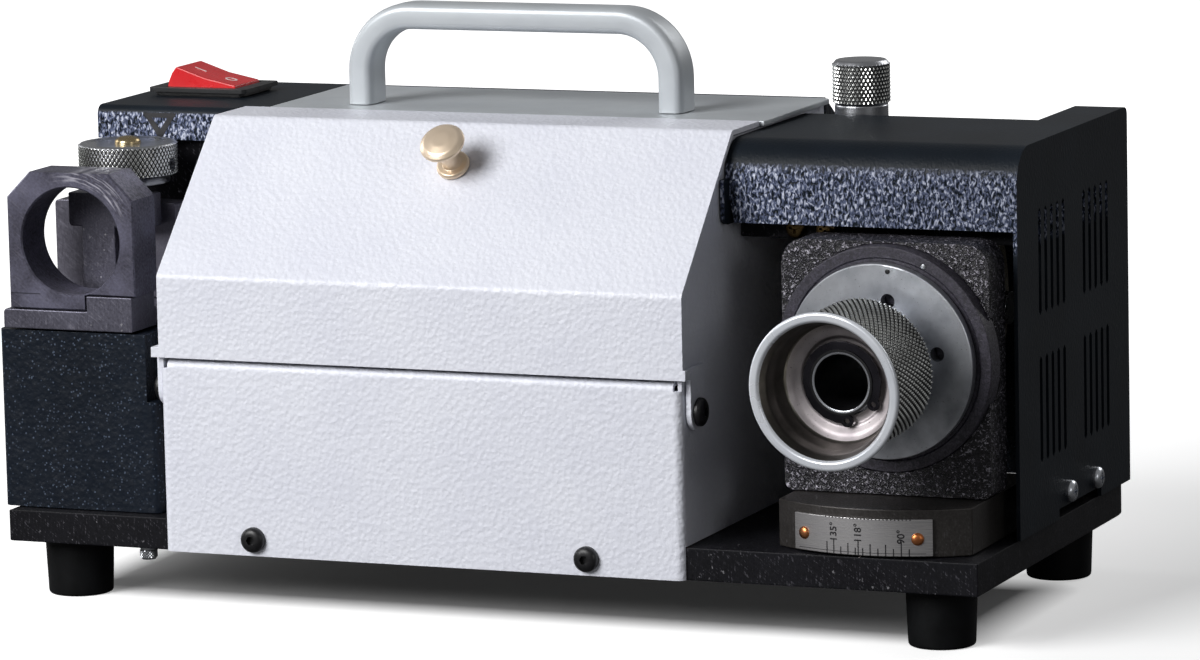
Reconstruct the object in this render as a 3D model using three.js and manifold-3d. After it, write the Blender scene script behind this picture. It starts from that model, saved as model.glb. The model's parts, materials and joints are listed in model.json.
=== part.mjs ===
// Bench drill bit grinder: steel base plate on rubber feet, motor and collet compartment in the
// middle, setting gauge on the left, swivelling drill head with its chuck on the right.
// Millimetres, +Z up, +X to the operator's right, operator at -Y.
// Places are measured from the base plate's front left corner and from the bench top, and the
// finished machine is then centred on its own footprint.
import * as THREE from 'three';
import { mergeVertices } from 'three/addons/utils/BufferGeometryUtils.js';
import Module from 'manifold-3d';

const wasm = await Module();
wasm.setup();

// Clearances
const seat = 0.3; // between pieces that rest on each other
const running = 0.35; // round a piece that turns or slides
const overrun = 6; // how far every cut runs past its solid

// Sides of round pieces, by their size
const largeSides = 32;
const roundSides = 24;
const smallSides = 16;
const tinySides = 10;

// Sheet metal
const coverWall = 1.2;
const lidWall = 1.6;
const foldRadius = 2.6;

// Feet and base plate
const footHeight = 18;
const footTopRadius = 11;
const footBottomRadius = 9.8;
const footRim = 1.2;
const footInsetLeft = 15;
const footInset = 17;
const plateThick = 9.5;
const plateCorner = 9;
const deck = footHeight + plateThick;

// Setting gauge: its bore takes the chuck, and the block's walls round the bore set the left bay
const leftHousingRise = 54.5; // of the housing's top over the deck
const leftHousingTop = deck + leftHousingRise;
const gaugeBoreRadius = 16.3;
const gaugeLeft = 1;
const gaugeLeftWall = 4.7;
const gaugeRightWall = 4.9;
const gaugeTopWall = 4.5;
const gaugeFloor = 11.3; // between the housing's top and the bore
const gaugeBoreX = gaugeLeft + gaugeLeftWall + gaugeBoreRadius;
const gaugeBoreZ = leftHousingTop + gaugeFloor + gaugeBoreRadius;
const gaugeRight = gaugeBoreX + gaugeBoreRadius + gaugeRightWall;
const gaugeTop = gaugeBoreZ + gaugeBoreRadius + gaugeTopWall;
const gaugeFront = 4;
const gaugeDepth = 15.2;
const gaugeChamfer = 7.8;
const gaugeBaseLeft = -1.5;
const gaugeBaseInset = 1.3;
const gaugeBaseRight = gaugeRight - gaugeBaseInset;
const gaugeBaseLow = 5.9;
const gaugeBaseHigh = 10.6;
const gaugeStepShift = 4.6;
const gaugeStepX = gaugeBoreX + gaugeStepShift;
const gaugeBaseDepth = 43;
const pillarMargin = 4.7; // of the gauge's base round its pillar
const pillarWidth = gaugeBaseRight - gaugeBaseLeft - 2 * pillarMargin;
const pillarDepth = 34;
const gaugeClearance = 10.2; // between the gauge and the centre section

// Collets and the rack of them, which sets the width of the centre section
const colletBore = 3;
const colletLength = 24;
const colletRadius = 7.9;
const colletHeadRadius = 10.3;
const colletSlot = 1;
const colletSlots = 3;
const rackCount = 6;
const spareCollets = 4;
const rackGap = 3.4; // between neighbouring collets
const rackPitch = 2 * colletHeadRadius + rackGap;
const rackEndSpace = 23.8; // from the last hole to the side wall
const rackFront = 12;
const rackBack = 50;
const rackHeight = 66;
const rackMargin = 8;
const rackHoleRadius = 8.4;
const centreWidth = (rackCount - 1) * rackPitch + 2 * rackEndSpace;
const centreLeft = gaugeRight + gaugeClearance;
const centreRight = centreLeft + centreWidth;
const centreX = (centreLeft + centreRight) / 2;

// Chuck line, along the chuck's leaning axis
const chuckTurnDegrees = -2.7;
const chuckDipDegrees = 3;
const portFlangeRadius = 33.3;
const portFlange = 7;
const portSleeveRadius = 20.4;
const portSleeve = 26;
const guideRim = 4.5; // of the port bush showing round the guide flange
const guideRadius = portFlangeRadius - guideRim;
const guideFlange = 3;
const guideSleeveRadius = 16.1;
const guideLength = 35;
const guideHubRadius = 15.4;
const guideHub = 9.4;
const guideHoleRadius = 2;
const guideHoleCircle = 18.3;
const guideHoleDegrees = [80, 10];
const tubeRadius = 12.2;
const tubeNoseRadius = 9.6;
const tubeBore = 8.2;
const tubeNose = 28;
const tubeShoulder = 23.5;
const tubeTail = 36;
const tubeGroove = 1.5;
const tubeGrooveRadius = 8.9;
const tubeMouth = 11;
const tubeConeLength = 16;
const nutBack = 10;
const nutFront = 41.6;
const nutRadius = 21.2;
const nutRimRadius = 23;
const nutRim = 3.6;
const nutLip = 1.9;
const nutBowlDepth = 8.4;
const nutFloorRadius = 16;
const nutFloor = 26.4;
const circlipThick = 1;
const circlipRadius = 12;
const circlipOpenDegrees = 42;
const circlipTurnDegrees = 58;
const circlipLugRadius = 1.9;

// Grinding wheel: it sets the height of the spindle, of the chuck and of the covers
const wheelRadius = 39;
const wheelLift = 19.5; // of its rim over the deck
const wheelGap = 4.5; // between the chuck's tail and the wheel
const chuckDrop = 4.3; // of the chuck's line below the spindle
const chuckY = 16.5;
const spindleY = chuckY + tubeTail + wheelGap + wheelRadius;
const spindleZ = deck + wheelLift + wheelRadius;
const chuckZ = spindleZ - chuckDrop;

// Drill head: the port bush sets its size, and it sets the length of the base plate
const swivelSpace = 20.7; // between the centre section and the port bush
const swivelX = centreRight + swivelSpace + portFlangeRadius;
const swivelSetback = 34; // of the pivot behind the chuck's face
const swivelY = chuckY + swivelSetback;
const chuckShift = 0.2;
const chuckX = swivelX + chuckShift;
const headInsetLeft = 1.7;
const headInsetRight = 1.5;
const headLeft = swivelX - portFlangeRadius + headInsetLeft;
const headRight = swivelX + portFlangeRadius - headInsetRight;
const headSetback = 5.5;
const headFront = chuckY + headSetback;
const headThick = 14;
const headTopWall = 0.9;
const headTop = chuckZ + portFlangeRadius + headTopWall;
const headCorner = 7;
const headToeCorner = 2.5;
const headFootThick = 8;
const headFootRadius = 17;
const headBossRadius = 23.5;
const headRib = 5;
const pivotRadius = 5;
const pivotHeadRadius = 8;
const pivotHead = 3;

// Angle base and scale
const drumRadius = 50;
const drumHeight = 14.2;
const drumInsetLeft = 4.3;
const drumInsetRight = 3.3;
const drumLeft = swivelX - portFlangeRadius + drumInsetLeft;
const drumRight = swivelX + portFlangeRadius - drumInsetRight;
const drumReach = 15.5;
const drumBack = swivelY + drumReach;
const scaleThick = 0.8;
const scaleHeight = 10.8;
const scaleLift = 0.5;
const scaleFromDegrees = -25.6;
const scaleToDegrees = 23.5;

// Footprint
const plateRight = 1.7; // beyond the port bush
const plateLength = swivelX + portFlangeRadius + plateRight;
const plateBack = 5; // beyond the wheel's rim
const plateDepth = spindleY + wheelRadius + plateBack;

// Right cover
const roofRise = 17; // over the wheel's rim
const roofHeight = spindleZ + wheelRadius + roofRise;
const roofSetback = 39.6;
const roofBack = plateDepth - roofSetback;
const roofBend = 11;
const roofLipGap = 2.1; // over the head
const roofLip = headTop + roofLipGap;
const roofLeft = centreRight + 2 * seat;
const roofLipSlant = 2.6;
const panelOuter = plateLength + coverWall;
const panelFront = 34.5;
const panelInset = 2.3;
const panelBack = plateDepth - panelInset;
const flangeWidth = 15.5;
const ventWidth = 2.4;
const ventHeight = 31.5;
const ventPitch = 5.4;
const ventRise = 20;
const ventRowPitch = 43.5;
const ventRowLow = deck + ventRise;
const ventRowHigh = ventRowLow + ventRowPitch;
const ventColumnFront = 54.6;
const ventColumnPitch = 40.7;
const ventColumnRear = ventColumnFront + ventColumnPitch;
const ventCount = 5;
const notchFront = 70;
const notchLength = 39.5;
const notchBack = notchFront + notchLength;
const notchHeight = 3.4;
const roofBracketDrop = 5.7; // below the roof's lip
const roofBracketBottom = roofLip - roofBracketDrop;
const roofBracketSetback = 10.1;
const roofBracketFlange = 16;
const wallFlangeLap = 4.3;
const wallFlangeFront = panelFront - wallFlangeLap;
const wallFlangeDrop = 0.4;
const wallFlangeBottom = roofLip - wallFlangeDrop;

// Centre section
const topRise = 2.5; // of the top over the right cover's roof
const topHeight = roofHeight + topRise;
const topSetback = 21.5;
const topBack = plateDepth - topSetback;
const centreFront = -2;
const seamHeight = 76.2;
const lipDepth = 9;
const lidFront = -3.3;
const lidSeam = 0.7;
const lidBand = 25.4; // upright part of the lid's front
const lidBendHeight = seamHeight + lidBand;
const lidTopFront = 39.2;
const lidTopDepth = 22.1;
const lidTopBack = lidTopFront + lidTopDepth;
const lidLeft = centreLeft + 2 * seat;
const lidRight = centreRight + coverWall;
const topPlateInset = 8.3;
const topPlateLeft = centreLeft + topPlateInset;
const topPlateOverhang = 2.6;
const shaftPortRadius = 12;

// Lid hinge
const hingeY = 6;
const hingeDrop = 9.6; // below the seam
const hingeZ = seamHeight - hingeDrop;
const earRadius = 5.3;
const earRise = 3.8; // over the seam
const earTop = seamHeight + earRise;
const hingeShankRadius = 2;
const hingeHeadRadius = 4.2;
const hingeHeadHeight = 2.2;
const hingeShankLength = 7;

// Lid knob
const lidKnobCollarRadius = 5.1;
const lidKnobCollar = 2.2;
const lidKnobNeckRadius = 3;
const lidKnobHeadRadius = 6.8;
const lidKnobHeadRim = 1.6;
const lidKnobHeight = 13.6;
const lidKnobDome = 1.1;
const lidKnobShift = 1;
const lidKnobX = centreX + lidKnobShift;
const lidKnobPlaceShare = 0.725; // of the slanted face, from its lower bend

// Carry handle
const handleShift = 1.6;
const handleX = centreX + handleShift;
const handleMargin = 32.95; // from its legs to the side walls
const handleSpan = centreWidth - 2 * handleMargin;
const handleThick = 8.2;
const handleDepth = 13.6;
const handleHeight = 31.5;
const handleBend = 17;
const handleSetback = 41.5;
const handleY = topBack - handleSetback;
const handleRoundShare = 0.38;

// Rear cover
const rearY = plateDepth - 2 * seat;
const rearFall = 13.5;
const rearShoulder = topHeight - rearFall;
const leftEdge = 7;
const rearVentWidth = 3;
const rearVentHeight = 26;
const rearVentPitch = 12;
const rearVentCount = 5;

// Wheel access cover behind the roof and its thumb knob
const accessShoulderDrop = 9.5;
const accessShoulder = roofHeight - accessShoulderDrop;
const accessDrop = 3.4;
const accessFrontHeight = roofHeight - accessDrop;
const thumbInset = 15.4;
const thumbX = centreRight + thumbInset;
const thumbSetback = 30;
const thumbY = plateDepth - thumbSetback;
const thumbRadius = 8.85;
const thumbKnurl = 13.6;
const thumbRise = 15.7;
const thumbTop = roofHeight + thumbRise;
const thumbCollarRadius = 8.1;
const thumbStudRadius = 4;
const thumbStudRelief = 17;
const thumbStud = wheelRadius - thumbStudRelief; // short of the pedestal under it
const thumbBoss = 9;

// Left housing
const leftHousingLeft = -4;
const leftHousingGap = 4.4;
const leftHousingRight = centreLeft - leftHousingGap;
const leftHousingFront = 5;
const leftHousingSetback = 22;
const leftHousingBack = plateDepth - leftHousingSetback;
const earNotchWidth = 3.5;
const earNotchDrop = 5;
const earNotchBottom = hingeZ - earNotchDrop;
const earNotchDepth = 12;

// Gauge adjusting knob
const adjustShift = 3.6;
const adjustX = gaugeBoreX + adjustShift;
const adjustY = 37.2;
const adjustRadius = 15.2;
const adjustHeight = 10;
const adjustRise = 5.4;
const adjustTop = gaugeTop + adjustRise;
const adjustEdge = 0.7;
const adjustCollarRadius = 12.6;
const adjustCollar = 2.4;
const adjustShaftRadius = 3.2;
const adjustPinRadius = 1.7;
const adjustPinOffset = 1.5;
const adjustDomeRadius = 4;
const adjustDomeHeight = 1.8;
const adjustHoleRadius = 2.1;
const adjustHoleShare = 0.34; // of the knob's height, from its bottom

// Length stop behind the gauge
const stopPlateLeft = gaugeLeft + 2 * seat;
const stopPlateRight = gaugeRight - 2 * seat;
const stopPlateFront = 34;
const stopPlateThick = 9;
const stopPlateDrop = 18; // below the knob's top
const stopPlateTop = adjustTop - stopPlateDrop;
const stopSlideWidth = 27.8;
const stopSlideThick = 7.5;
const stopSlideDrop = 6.6;
const stopSlideBottom = stopPlateTop - stopSlideDrop;
const stopSlideHeight = 10.3;
const stopSlideTop = stopSlideBottom + stopSlideHeight;
const stopBladeWidth = 11.2;
const stopBladeShift = 1.1;
const stopBladeX = gaugeBoreX - stopBladeShift;
const stopSlideOverlap = 9.9;
const stopSlideLeft = stopBladeX - stopSlideOverlap;
const stopBladeLength = 19.7;
const stopBladeBottom = stopSlideBottom - stopBladeLength;
const stopTravel = 3; // fore and aft travel of the stop
const stopKeyWidth = 12;
const stopKeyHeight = 5;
const stopKeyReach = 12;

// Upper left cover and rocker switch
const upperLipFront = 54;
const upperLipHeight = 10.1;
const upperLipBottom = topHeight - upperLipHeight;
const upperBend = 3;
const innerWallY = 58;
const switchX = 29;
const switchY = 90.8;
const bezelLength = 33.2;
const bezelDepth = 25;
const bezelHeight = 2.7;
const bezelChamfer = 1.5;
const bezelCorner = 1.6;
const switchBodyLength = 27.6;
const switchBodyDepth = 20.6;
const switchBodyDrop = 24;
const switchCavityDrop = 15;
const rockerRadius = 11.9;
const rockerDepth = 17.6;
const rockerPivotDrop = 2;
const rockerKeel = 8;
const rockerKeelHalf = 5;
const rockerValley = 0.65;
const rockerBrowDegrees = 28.3; // where the end arc meets the top face
const rockerSkirtDegrees = -24; // where the end arc meets the keel
const rockerThrow = 15.2; // degrees either side of level
const capacitorRadius = 14;
const capacitorHeight = 40;
const capacitorX = 22;
const capacitorY = 92;

// Cable gland at the rear
const glandX = 30;
const glandZ = 52;
const glandRadius = 9;
const glandHexagon = 4;
const glandLength = 12;
const glandStem = 6;
const glandBore = 3.6;
const glandThreadRadius = 6.5;
const glandNutRadius = 7.6;
const glandMouthRadius = 5.4;

// Motor and spindle line
const shaftRadius = 5;
const shaftInset = 12.6;
const shaftLeft = centreLeft + shaftInset;
const statorInsetLeft = 44.6;
const statorInsetRight = 45;
const statorLeft = centreLeft + statorInsetLeft;
const statorLength = centreWidth - statorInsetLeft - statorInsetRight;
const statorRadius = 31;
const statorBore = 19.6;
const statorFins = 20;
const statorFinDepth = 2.4;
const rotorRadius = 19;
const endBellLength = 12;
const endBellHubRadius = 15;
const bearingRadius = 11;
const bearingWidth = 7;
const fanSetback = 28;
const fanLeft = statorLeft - fanSetback;
const fanWidth = 10;
const fanRadius = 26;
const fanHubRadius = 9;
const fanBlades = 7;
const fanBladeThick = 1.6;
const mountThick = 5;
const mountInset = 9;
const mountLength = statorLength - 2 * mountInset;
const mountSpread = 44;
const pedestalInset = 11;
const pedestalLeft = centreRight + pedestalInset;
const pedestalWidth = 14;
const pedestalRadius = 18;
const pedestalFoot = 9;

// Wheel on its hub
const wheelOffset = 13; // of its left face from the swivel's axis
const wheelLeft = swivelX - wheelOffset;
const wheelWidth = 14;
const wheelBevel = 6;
const wheelBevelRadius = wheelRadius - wheelBevel;
const wheelBevelWidth = 10;
const wheelBore = 6;
const hubFlangeRadius = 15;
const hubFlange = 8;
const hubNutRadius = 9;
const hubNut = 8;
const shaftEnd = 26; // of the spindle beyond the wheel's left face
const shaftRight = wheelLeft + shaftEnd;

const paint = (color, roughness, metalness) =>
  new THREE.MeshStandardMaterial({ color, roughness, metalness });
const whiteCoat = () => paint(0xdfe1e6, 0.55, 0.0);
const greyCoat = () => paint(0xb9bdbd, 0.5, 0.0);
const blueCoat = () => paint(0x2a3240, 0.5, 0.1);
const blackSteel = () => paint(0x2b282b, 0.5, 0.6);
const greySteel = () => paint(0x6c6a72, 0.45, 0.8);
const zinc = () => paint(0xaeb0b2, 0.35, 0.9);
const castBlack = () => paint(0x1f1e20, 0.75, 0.2);
const rubber = () => paint(0x121213, 0.85, 0.0);
const brass = () => paint(0xcdbb8e, 0.3, 0.9);
const redPlastic = () => paint(0xd11f23, 0.4, 0.0);
const blackPlastic = () => paint(0x18191b, 0.5, 0.0);
const abrasive = () => paint(0x8b8577, 0.9, 0.0);

// Solids: closed geometries become solids that can be joined and cut, and go back to geometry.
function toSolid(geometry) {
  const bare = geometry.index ? geometry.toNonIndexed() : geometry.clone();
  bare.deleteAttribute('normal');
  bare.deleteAttribute('uv');
  const merged = mergeVertices(bare, 1e-4);
  return new wasm.Manifold(new wasm.Mesh({
    numProp: 3,
    vertProperties: new Float32Array(merged.attributes.position.array),
    triVerts: new Uint32Array(merged.index.array),
  }));
}

function toGeometry(solid) {
  const mesh = solid.getMesh();
  const geometry = new THREE.BufferGeometry();
  geometry.setAttribute('position', new THREE.BufferAttribute(new Float32Array(mesh.vertProperties), 3));
  geometry.setIndex(new THREE.BufferAttribute(new Uint32Array(mesh.triVerts), 1));
  return geometry;
}

function join(solids) {
  return solids.reduce((all, one) => all.add(one));
}

function cut(solid, tools) {
  return tools.reduce((rest, tool) => rest.subtract(tool), solid);
}

// Outlines: corners are [u, v] or [u, v, radius], and a radius turns the corner into an arc.
function corner(before, at, after, radius, steps) {
  const toBefore = before.clone().sub(at).normalize();
  const toAfter = after.clone().sub(at).normalize();
  const half = toBefore.angleTo(toAfter) / 2;
  const reach = radius / Math.tan(half);
  const start = at.clone().addScaledVector(toBefore, reach);
  const end = at.clone().addScaledVector(toAfter, reach);
  const centre = at.clone().addScaledVector(
    toBefore.clone().add(toAfter).normalize(), radius / Math.sin(half));
  const from = start.sub(centre);
  const turn = end.sub(centre);
  const sweep = Math.atan2(from.cross(turn), from.dot(turn));
  return Array.from({ length: steps + 1 }, (_, i) =>
    from.clone().rotateAround(new THREE.Vector2(), (sweep * i) / steps).add(centre));
}

function roundCorners(corners, closed, steps = 6) {
  const points = corners.map(([u, v]) => new THREE.Vector2(u, v));
  const count = points.length;
  return corners.flatMap(([, , radius], i) => {
    const isEnd = !closed && (i === 0 || i === count - 1);
    if (!radius || isEnd) return [points[i]];
    return corner(points[(i + count - 1) % count], points[i], points[(i + 1) % count], radius, steps);
  });
}

function outline(corners, steps) {
  return new THREE.Shape(roundCorners(corners, true, steps));
}

// A folded sheet seen on edge: the path runs along its outer face, and the wall lies to the left.
function foldedSheet(path, wall, steps = 6) {
  const points = path.map(([u, v]) => new THREE.Vector2(u, v));
  const normals = points.slice(1).map((point, i) => {
    const along = point.clone().sub(points[i]).normalize();
    return new THREE.Vector2(-along.y, along.x);
  });
  const inner = points.map((point, i) => {
    const before = normals[Math.max(i - 1, 0)];
    const after = normals[Math.min(i, normals.length - 1)];
    const middle = before.clone().add(after).normalize();
    return point.clone().addScaledVector(middle, wall / middle.dot(before));
  });
  const innerCorners = inner.map((point, i) => {
    const radius = path[i][2] ?? 0;
    const turn = i > 0 && i < normals.length ? normals[i - 1].cross(normals[i]) : 0;
    const kept = turn > 0 ? Math.max(radius - wall, 0) : radius && radius + wall;
    return [point.x, point.y, kept];
  });
  const outer = roundCorners(path, false, steps);
  const back = roundCorners(innerCorners, false, steps).reverse();
  return new THREE.Shape([...outer, ...back]);
}

// Extrusions: an outline of (y, z) runs along X, of (x, z) along Y, of (x, y) along Z.
const alongX = new THREE.Matrix4().makeBasis(
  new THREE.Vector3(0, 1, 0), new THREE.Vector3(0, 0, 1), new THREE.Vector3(1, 0, 0));
const alongY = new THREE.Matrix4().makeBasis(
  new THREE.Vector3(1, 0, 0), new THREE.Vector3(0, 0, 1), new THREE.Vector3(0, -1, 0));

function extrude(shape, depth) {
  return new THREE.ExtrudeGeometry(shape, { depth, bevelEnabled: false, curveSegments: 10 });
}

function extrudeX(shape, from, to) {
  return toSolid(extrude(shape, to - from).applyMatrix4(alongX).translate(from, 0, 0));
}

function extrudeY(shape, from, to) {
  return toSolid(extrude(shape, to - from).applyMatrix4(alongY).translate(0, to, 0));
}

function extrudeZ(shape, from, to) {
  return toSolid(extrude(shape, to - from).translate(0, 0, from));
}

function block(x0, x1, y0, y1, z0, z1) {
  const geometry = new THREE.BoxGeometry(x1 - x0, y1 - y0, z1 - z0);
  return toSolid(geometry.translate((x0 + x1) / 2, (y0 + y1) / 2, (z0 + z1) / 2));
}

function lathe(profile, segments = roundSides) {
  const points = profile.map(([radius, height]) => new THREE.Vector2(radius, height));
  return toSolid(new THREE.LatheGeometry(points, segments).rotateX(Math.PI / 2));
}

function latheX(profile, segments) {
  return place(lathe(profile, segments), new THREE.Matrix4().makeRotationY(Math.PI / 2));
}

function place(solid, matrix) {
  return toSolid(toGeometry(solid).applyMatrix4(matrix));
}

function moved(solid, x, y, z) {
  return solid.translate([x, y, z]);
}

// Round bars: a closed profile on the axis, from one height to the other.
function rod(radius, from, to, segments = smallSides) {
  return lathe([[0, from], [radius, from], [radius, to], [0, to]], segments);
}

function rodX(radius, from, to, y, z, segments = smallSides) {
  return moved(latheX([[0, from], [radius, from], [radius, to], [0, to]], segments), 0, y, z);
}

function rodY(radius, from, to, x, z, segments = smallSides) {
  const turned = place(rod(radius, -to, -from, segments), new THREE.Matrix4().makeRotationX(Math.PI / 2));
  return moved(turned, x, 0, z);
}

function rodZ(radius, from, to, x, y, segments = smallSides) {
  return moved(rod(radius, from, to, segments), x, y, 0);
}

function slot(width, height, u, v) {
  const r = width / 2;
  return outline([
    [u - r, v - height / 2, r * 0.98], [u + r, v - height / 2, r * 0.98],
    [u + r, v + height / 2, r * 0.98], [u - r, v + height / 2, r * 0.98],
  ], 1);
}

const machine = new THREE.Group();

function add(name, solid, material) {
  const geometry = toGeometry(solid);
  const mesh = new THREE.Mesh(geometry, material);
  mesh.name = name;
  machine.add(mesh);
}

// Base plate with its two rounded rear corners
function basePlate() {
  const plan = outline([
    [0, 0], [plateLength, 0], [plateLength, plateDepth, plateCorner], [0, plateDepth, plateCorner],
  ]);
  const pinHole = rodZ(pivotRadius + running, footHeight - overrun, deck + overrun, swivelX, swivelY);
  return cut(extrudeZ(plan, footHeight, deck), [pinHole]);
}
add('base_plate', basePlate(), blackSteel());

function foot(x, y) {
  const top = footHeight - seat;
  const body = lathe([
    [0, 0], [footBottomRadius - footRim, 0], [footBottomRadius, footRim], [footTopRadius, top], [0, top],
  ], smallSides);
  return moved(body, x, y, 0);
}
const footPlaces = {
  foot_front_left: [footInsetLeft, footInset],
  foot_front_right: [plateLength - footInset, footInset],
  foot_rear_left: [footInsetLeft, plateDepth - footInset],
  foot_rear_right: [plateLength - footInset, plateDepth - footInset],
};
Object.entries(footPlaces).forEach(([name, [x, y]]) => add(name, foot(x, y), rubber()));

// The slanted line of the lid, used by the lid and by the walls under it
const lidSlope = new THREE.Vector2(lidTopFront - lidFront, topHeight - lidBendHeight).normalize();

function centreCover() {
  const wallTop = topHeight - lidWall - 2 * seat;
  const inset = lidWall + seat;
  const front = extrudeZ(outline([
    [centreLeft, centreFront, foldRadius], [centreRight, centreFront, foldRadius],
    [centreRight, topBack], [centreLeft, topBack],
  ]), footHeight, seamHeight - foldRadius);
  const hollow = extrudeZ(outline([
    [centreLeft + coverWall, centreFront + coverWall, foldRadius - coverWall],
    [centreRight - coverWall, centreFront + coverWall, foldRadius - coverWall],
    [centreRight - coverWall, topBack + overrun], [centreLeft + coverWall, topBack + overrun],
  ]), footHeight - overrun, seamHeight);
  const plateRelief = block(centreLeft - overrun, centreRight + overrun, -seat, topBack + overrun,
    footHeight - overrun, deck + seat);
  const lip = extrudeX(foldedSheet([
    [centreFront, seamHeight - 2 * foldRadius], [centreFront, seamHeight, foldRadius],
    [centreFront + lipDepth, seamHeight],
  ].reverse(), coverWall), centreLeft + foldRadius, centreRight - foldRadius);
  // Side walls stand from the deck to the top plate, with the lid's slant as their front edge.
  const slantShift = inset / lidSlope.y;
  const side = outline([
    [centreFront + foldRadius, deck + seat], [centreFront + foldRadius, seamHeight - foldRadius],
    [lidFront + inset, seamHeight - foldRadius],
    [lidFront + inset, lidBendHeight - ((slantShift - inset) * lidSlope.y) / lidSlope.x],
    [lidTopFront + slantShift - lidWall, wallTop], [topBack, wallTop], [topBack, deck + seat],
  ]);
  const walls = [centreLeft, centreRight - coverWall].map((x) => extrudeX(side, x, x + coverWall));
  const shaftPort = rodX(shaftPortRadius, centreRight - overrun, centreRight + overrun, spindleY, spindleZ);
  const pivots = rodX(hingeShankRadius + running, centreLeft - overrun, centreRight + overrun,
    hingeY, hingeZ, tinySides);
  const shell = cut(front, [hollow, plateRelief]);
  return cut(join([shell, lip, ...walls]), [shaftPort, pivots]);
}
add('centre_cover', centreCover(), whiteCoat());

// Hinged lid: one folded sheet with a screw ear bent back at each end
function lid() {
  const sheet = extrudeX(foldedSheet([
    [lidTopBack, topHeight], [lidTopFront, topHeight, foldRadius],
    [lidFront, lidBendHeight, foldRadius], [lidFront, seamHeight + lidSeam],
  ], lidWall), lidLeft, lidRight);
  const ear = outline([
    [lidFront, seamHeight + lidSeam], [lidFront, earTop], [hingeY + earRadius, earTop],
    [hingeY + earRadius, hingeZ - earRadius, earRadius * 0.98],
    [hingeY - earRadius, hingeZ - earRadius, earRadius * 0.98],
    [hingeY - earRadius, seamHeight + lidSeam],
  ]);
  const ears = [
    extrudeX(ear, centreRight + running, centreRight + running + lidWall),
    extrudeX(ear, centreLeft - running - lidWall, centreLeft - running),
  ];
  const bridge = block(centreLeft - running - lidWall, centreRight + running + lidWall,
    lidFront, lidFront + lidWall, seamHeight + lidSeam, earTop);
  const pivots = rodX(hingeShankRadius + running, centreLeft - overrun, centreRight + overrun,
    hingeY, hingeZ, tinySides);
  return cut(join([sheet, bridge, ...ears]), [pivots]);
}
add('lid', lid(), whiteCoat());

// Hinge screws: each shank runs from the side wall out through its ear
function hingeScrew(side) {
  const earOuter = running + lidWall + seat;
  const shank = rod(hingeShankRadius, earOuter - hingeShankLength, earOuter, tinySides);
  const head = lathe([
    [0, earOuter], [hingeHeadRadius, earOuter], [hingeHeadRadius, earOuter + hingeHeadHeight * 0.4],
    [hingeHeadRadius * 0.6, earOuter + hingeHeadHeight], [0, earOuter + hingeHeadHeight],
  ], smallSides);
  const turn = new THREE.Matrix4().makeRotationY((side * Math.PI) / 2);
  const wallX = side > 0 ? centreRight : centreLeft;
  return moved(place(join([shank, head]), turn), wallX, hingeY, hingeZ);
}
add('hinge_screw_left', hingeScrew(-1), blackSteel());
add('hinge_screw_right', hingeScrew(1), blackSteel());

// Pull knob on the slanted face of the lid
function lidKnob() {
  const neckTop = lidKnobHeight - lidKnobHeadRim - lidKnobDome - lidKnobHeadRim;
  const knob = lathe([
    [0, seat], [lidKnobCollarRadius, seat], [lidKnobCollarRadius, lidKnobCollar],
    [lidKnobNeckRadius, lidKnobCollar + lidKnobNeckRadius / 2], [lidKnobNeckRadius, neckTop],
    [lidKnobHeadRadius, lidKnobHeight - lidKnobDome - lidKnobHeadRim],
    [lidKnobHeadRadius, lidKnobHeight - lidKnobDome],
    [lidKnobHeadRadius * 0.6, lidKnobHeight - lidKnobDome * 0.25], [0, lidKnobHeight],
  ], smallSides);
  const lean = Math.PI / 2 - Math.atan2(lidSlope.x, lidSlope.y);
  const turned = place(knob, new THREE.Matrix4().makeRotationX(lean));
  const y = THREE.MathUtils.lerp(lidFront, lidTopFront, lidKnobPlaceShare);
  const z = THREE.MathUtils.lerp(lidBendHeight, topHeight, lidKnobPlaceShare);
  return moved(turned, lidKnobX, y, z);
}
add('lid_knob', lidKnob(), brass());

// Fixed top plate behind the lid
function topPlate() {
  return extrudeZ(outline([
    [topPlateLeft, lidTopBack + running], [centreRight + topPlateOverhang, lidTopBack + running],
    [centreRight + topPlateOverhang, topBack, foldRadius], [topPlateLeft, topBack],
  ]), topHeight - lidWall, topHeight);
}
add('top_plate', topPlate(), greyCoat());

// Carry handle: a rounded bar swept up one leg, across and down the other
function carryHandle() {
  const half = handleSpan / 2;
  const base = topHeight + seat;
  const crown = topHeight + handleHeight - handleThick / 2;
  const path = roundCorners([
    [-half, base], [-half, crown, handleBend], [half, crown, handleBend], [half, base],
  ], false, 6);
  const side = handleThick / 2;
  const depth = handleDepth / 2;
  const round = handleThick * handleRoundShare;
  const section = roundCorners([
    [-side, -depth, round], [side, -depth, round], [side, depth, round], [-side, depth, round],
  ], true, 3);
  return moved(sweep(path, section), handleX, handleY, 0);
}

// A bar swept along a path of (x, z) points, its section held square to the path
function sweep(path, section) {
  const count = section.length;
  const last = path.length - 1;
  const positions = path.flatMap((point, i) => {
    const before = path[Math.max(i - 1, 0)];
    const after = path[Math.min(i + 1, last)];
    const along = after.clone().sub(before).normalize();
    return section.flatMap((p) => [point.x + along.y * p.x, p.y, point.y - along.x * p.x]);
  });
  const skin = Array.from({ length: last * count }, (_, k) => {
    const a = k;
    const b = k % count === count - 1 ? k + 1 - count : k + 1;
    return [a, b, b + count, a, b + count, a + count];
  });
  const ends = Array.from({ length: count - 2 }, (_, j) => {
    const far = last * count;
    return [0, j + 2, j + 1, far, far + j + 1, far + j + 2];
  });
  const geometry = new THREE.BufferGeometry();
  geometry.setAttribute('position', new THREE.Float32BufferAttribute(positions, 3));
  geometry.setIndex([...skin, ...ends].flat());
  return toSolid(geometry);
}
add('carry_handle', carryHandle(), greyCoat());

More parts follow.
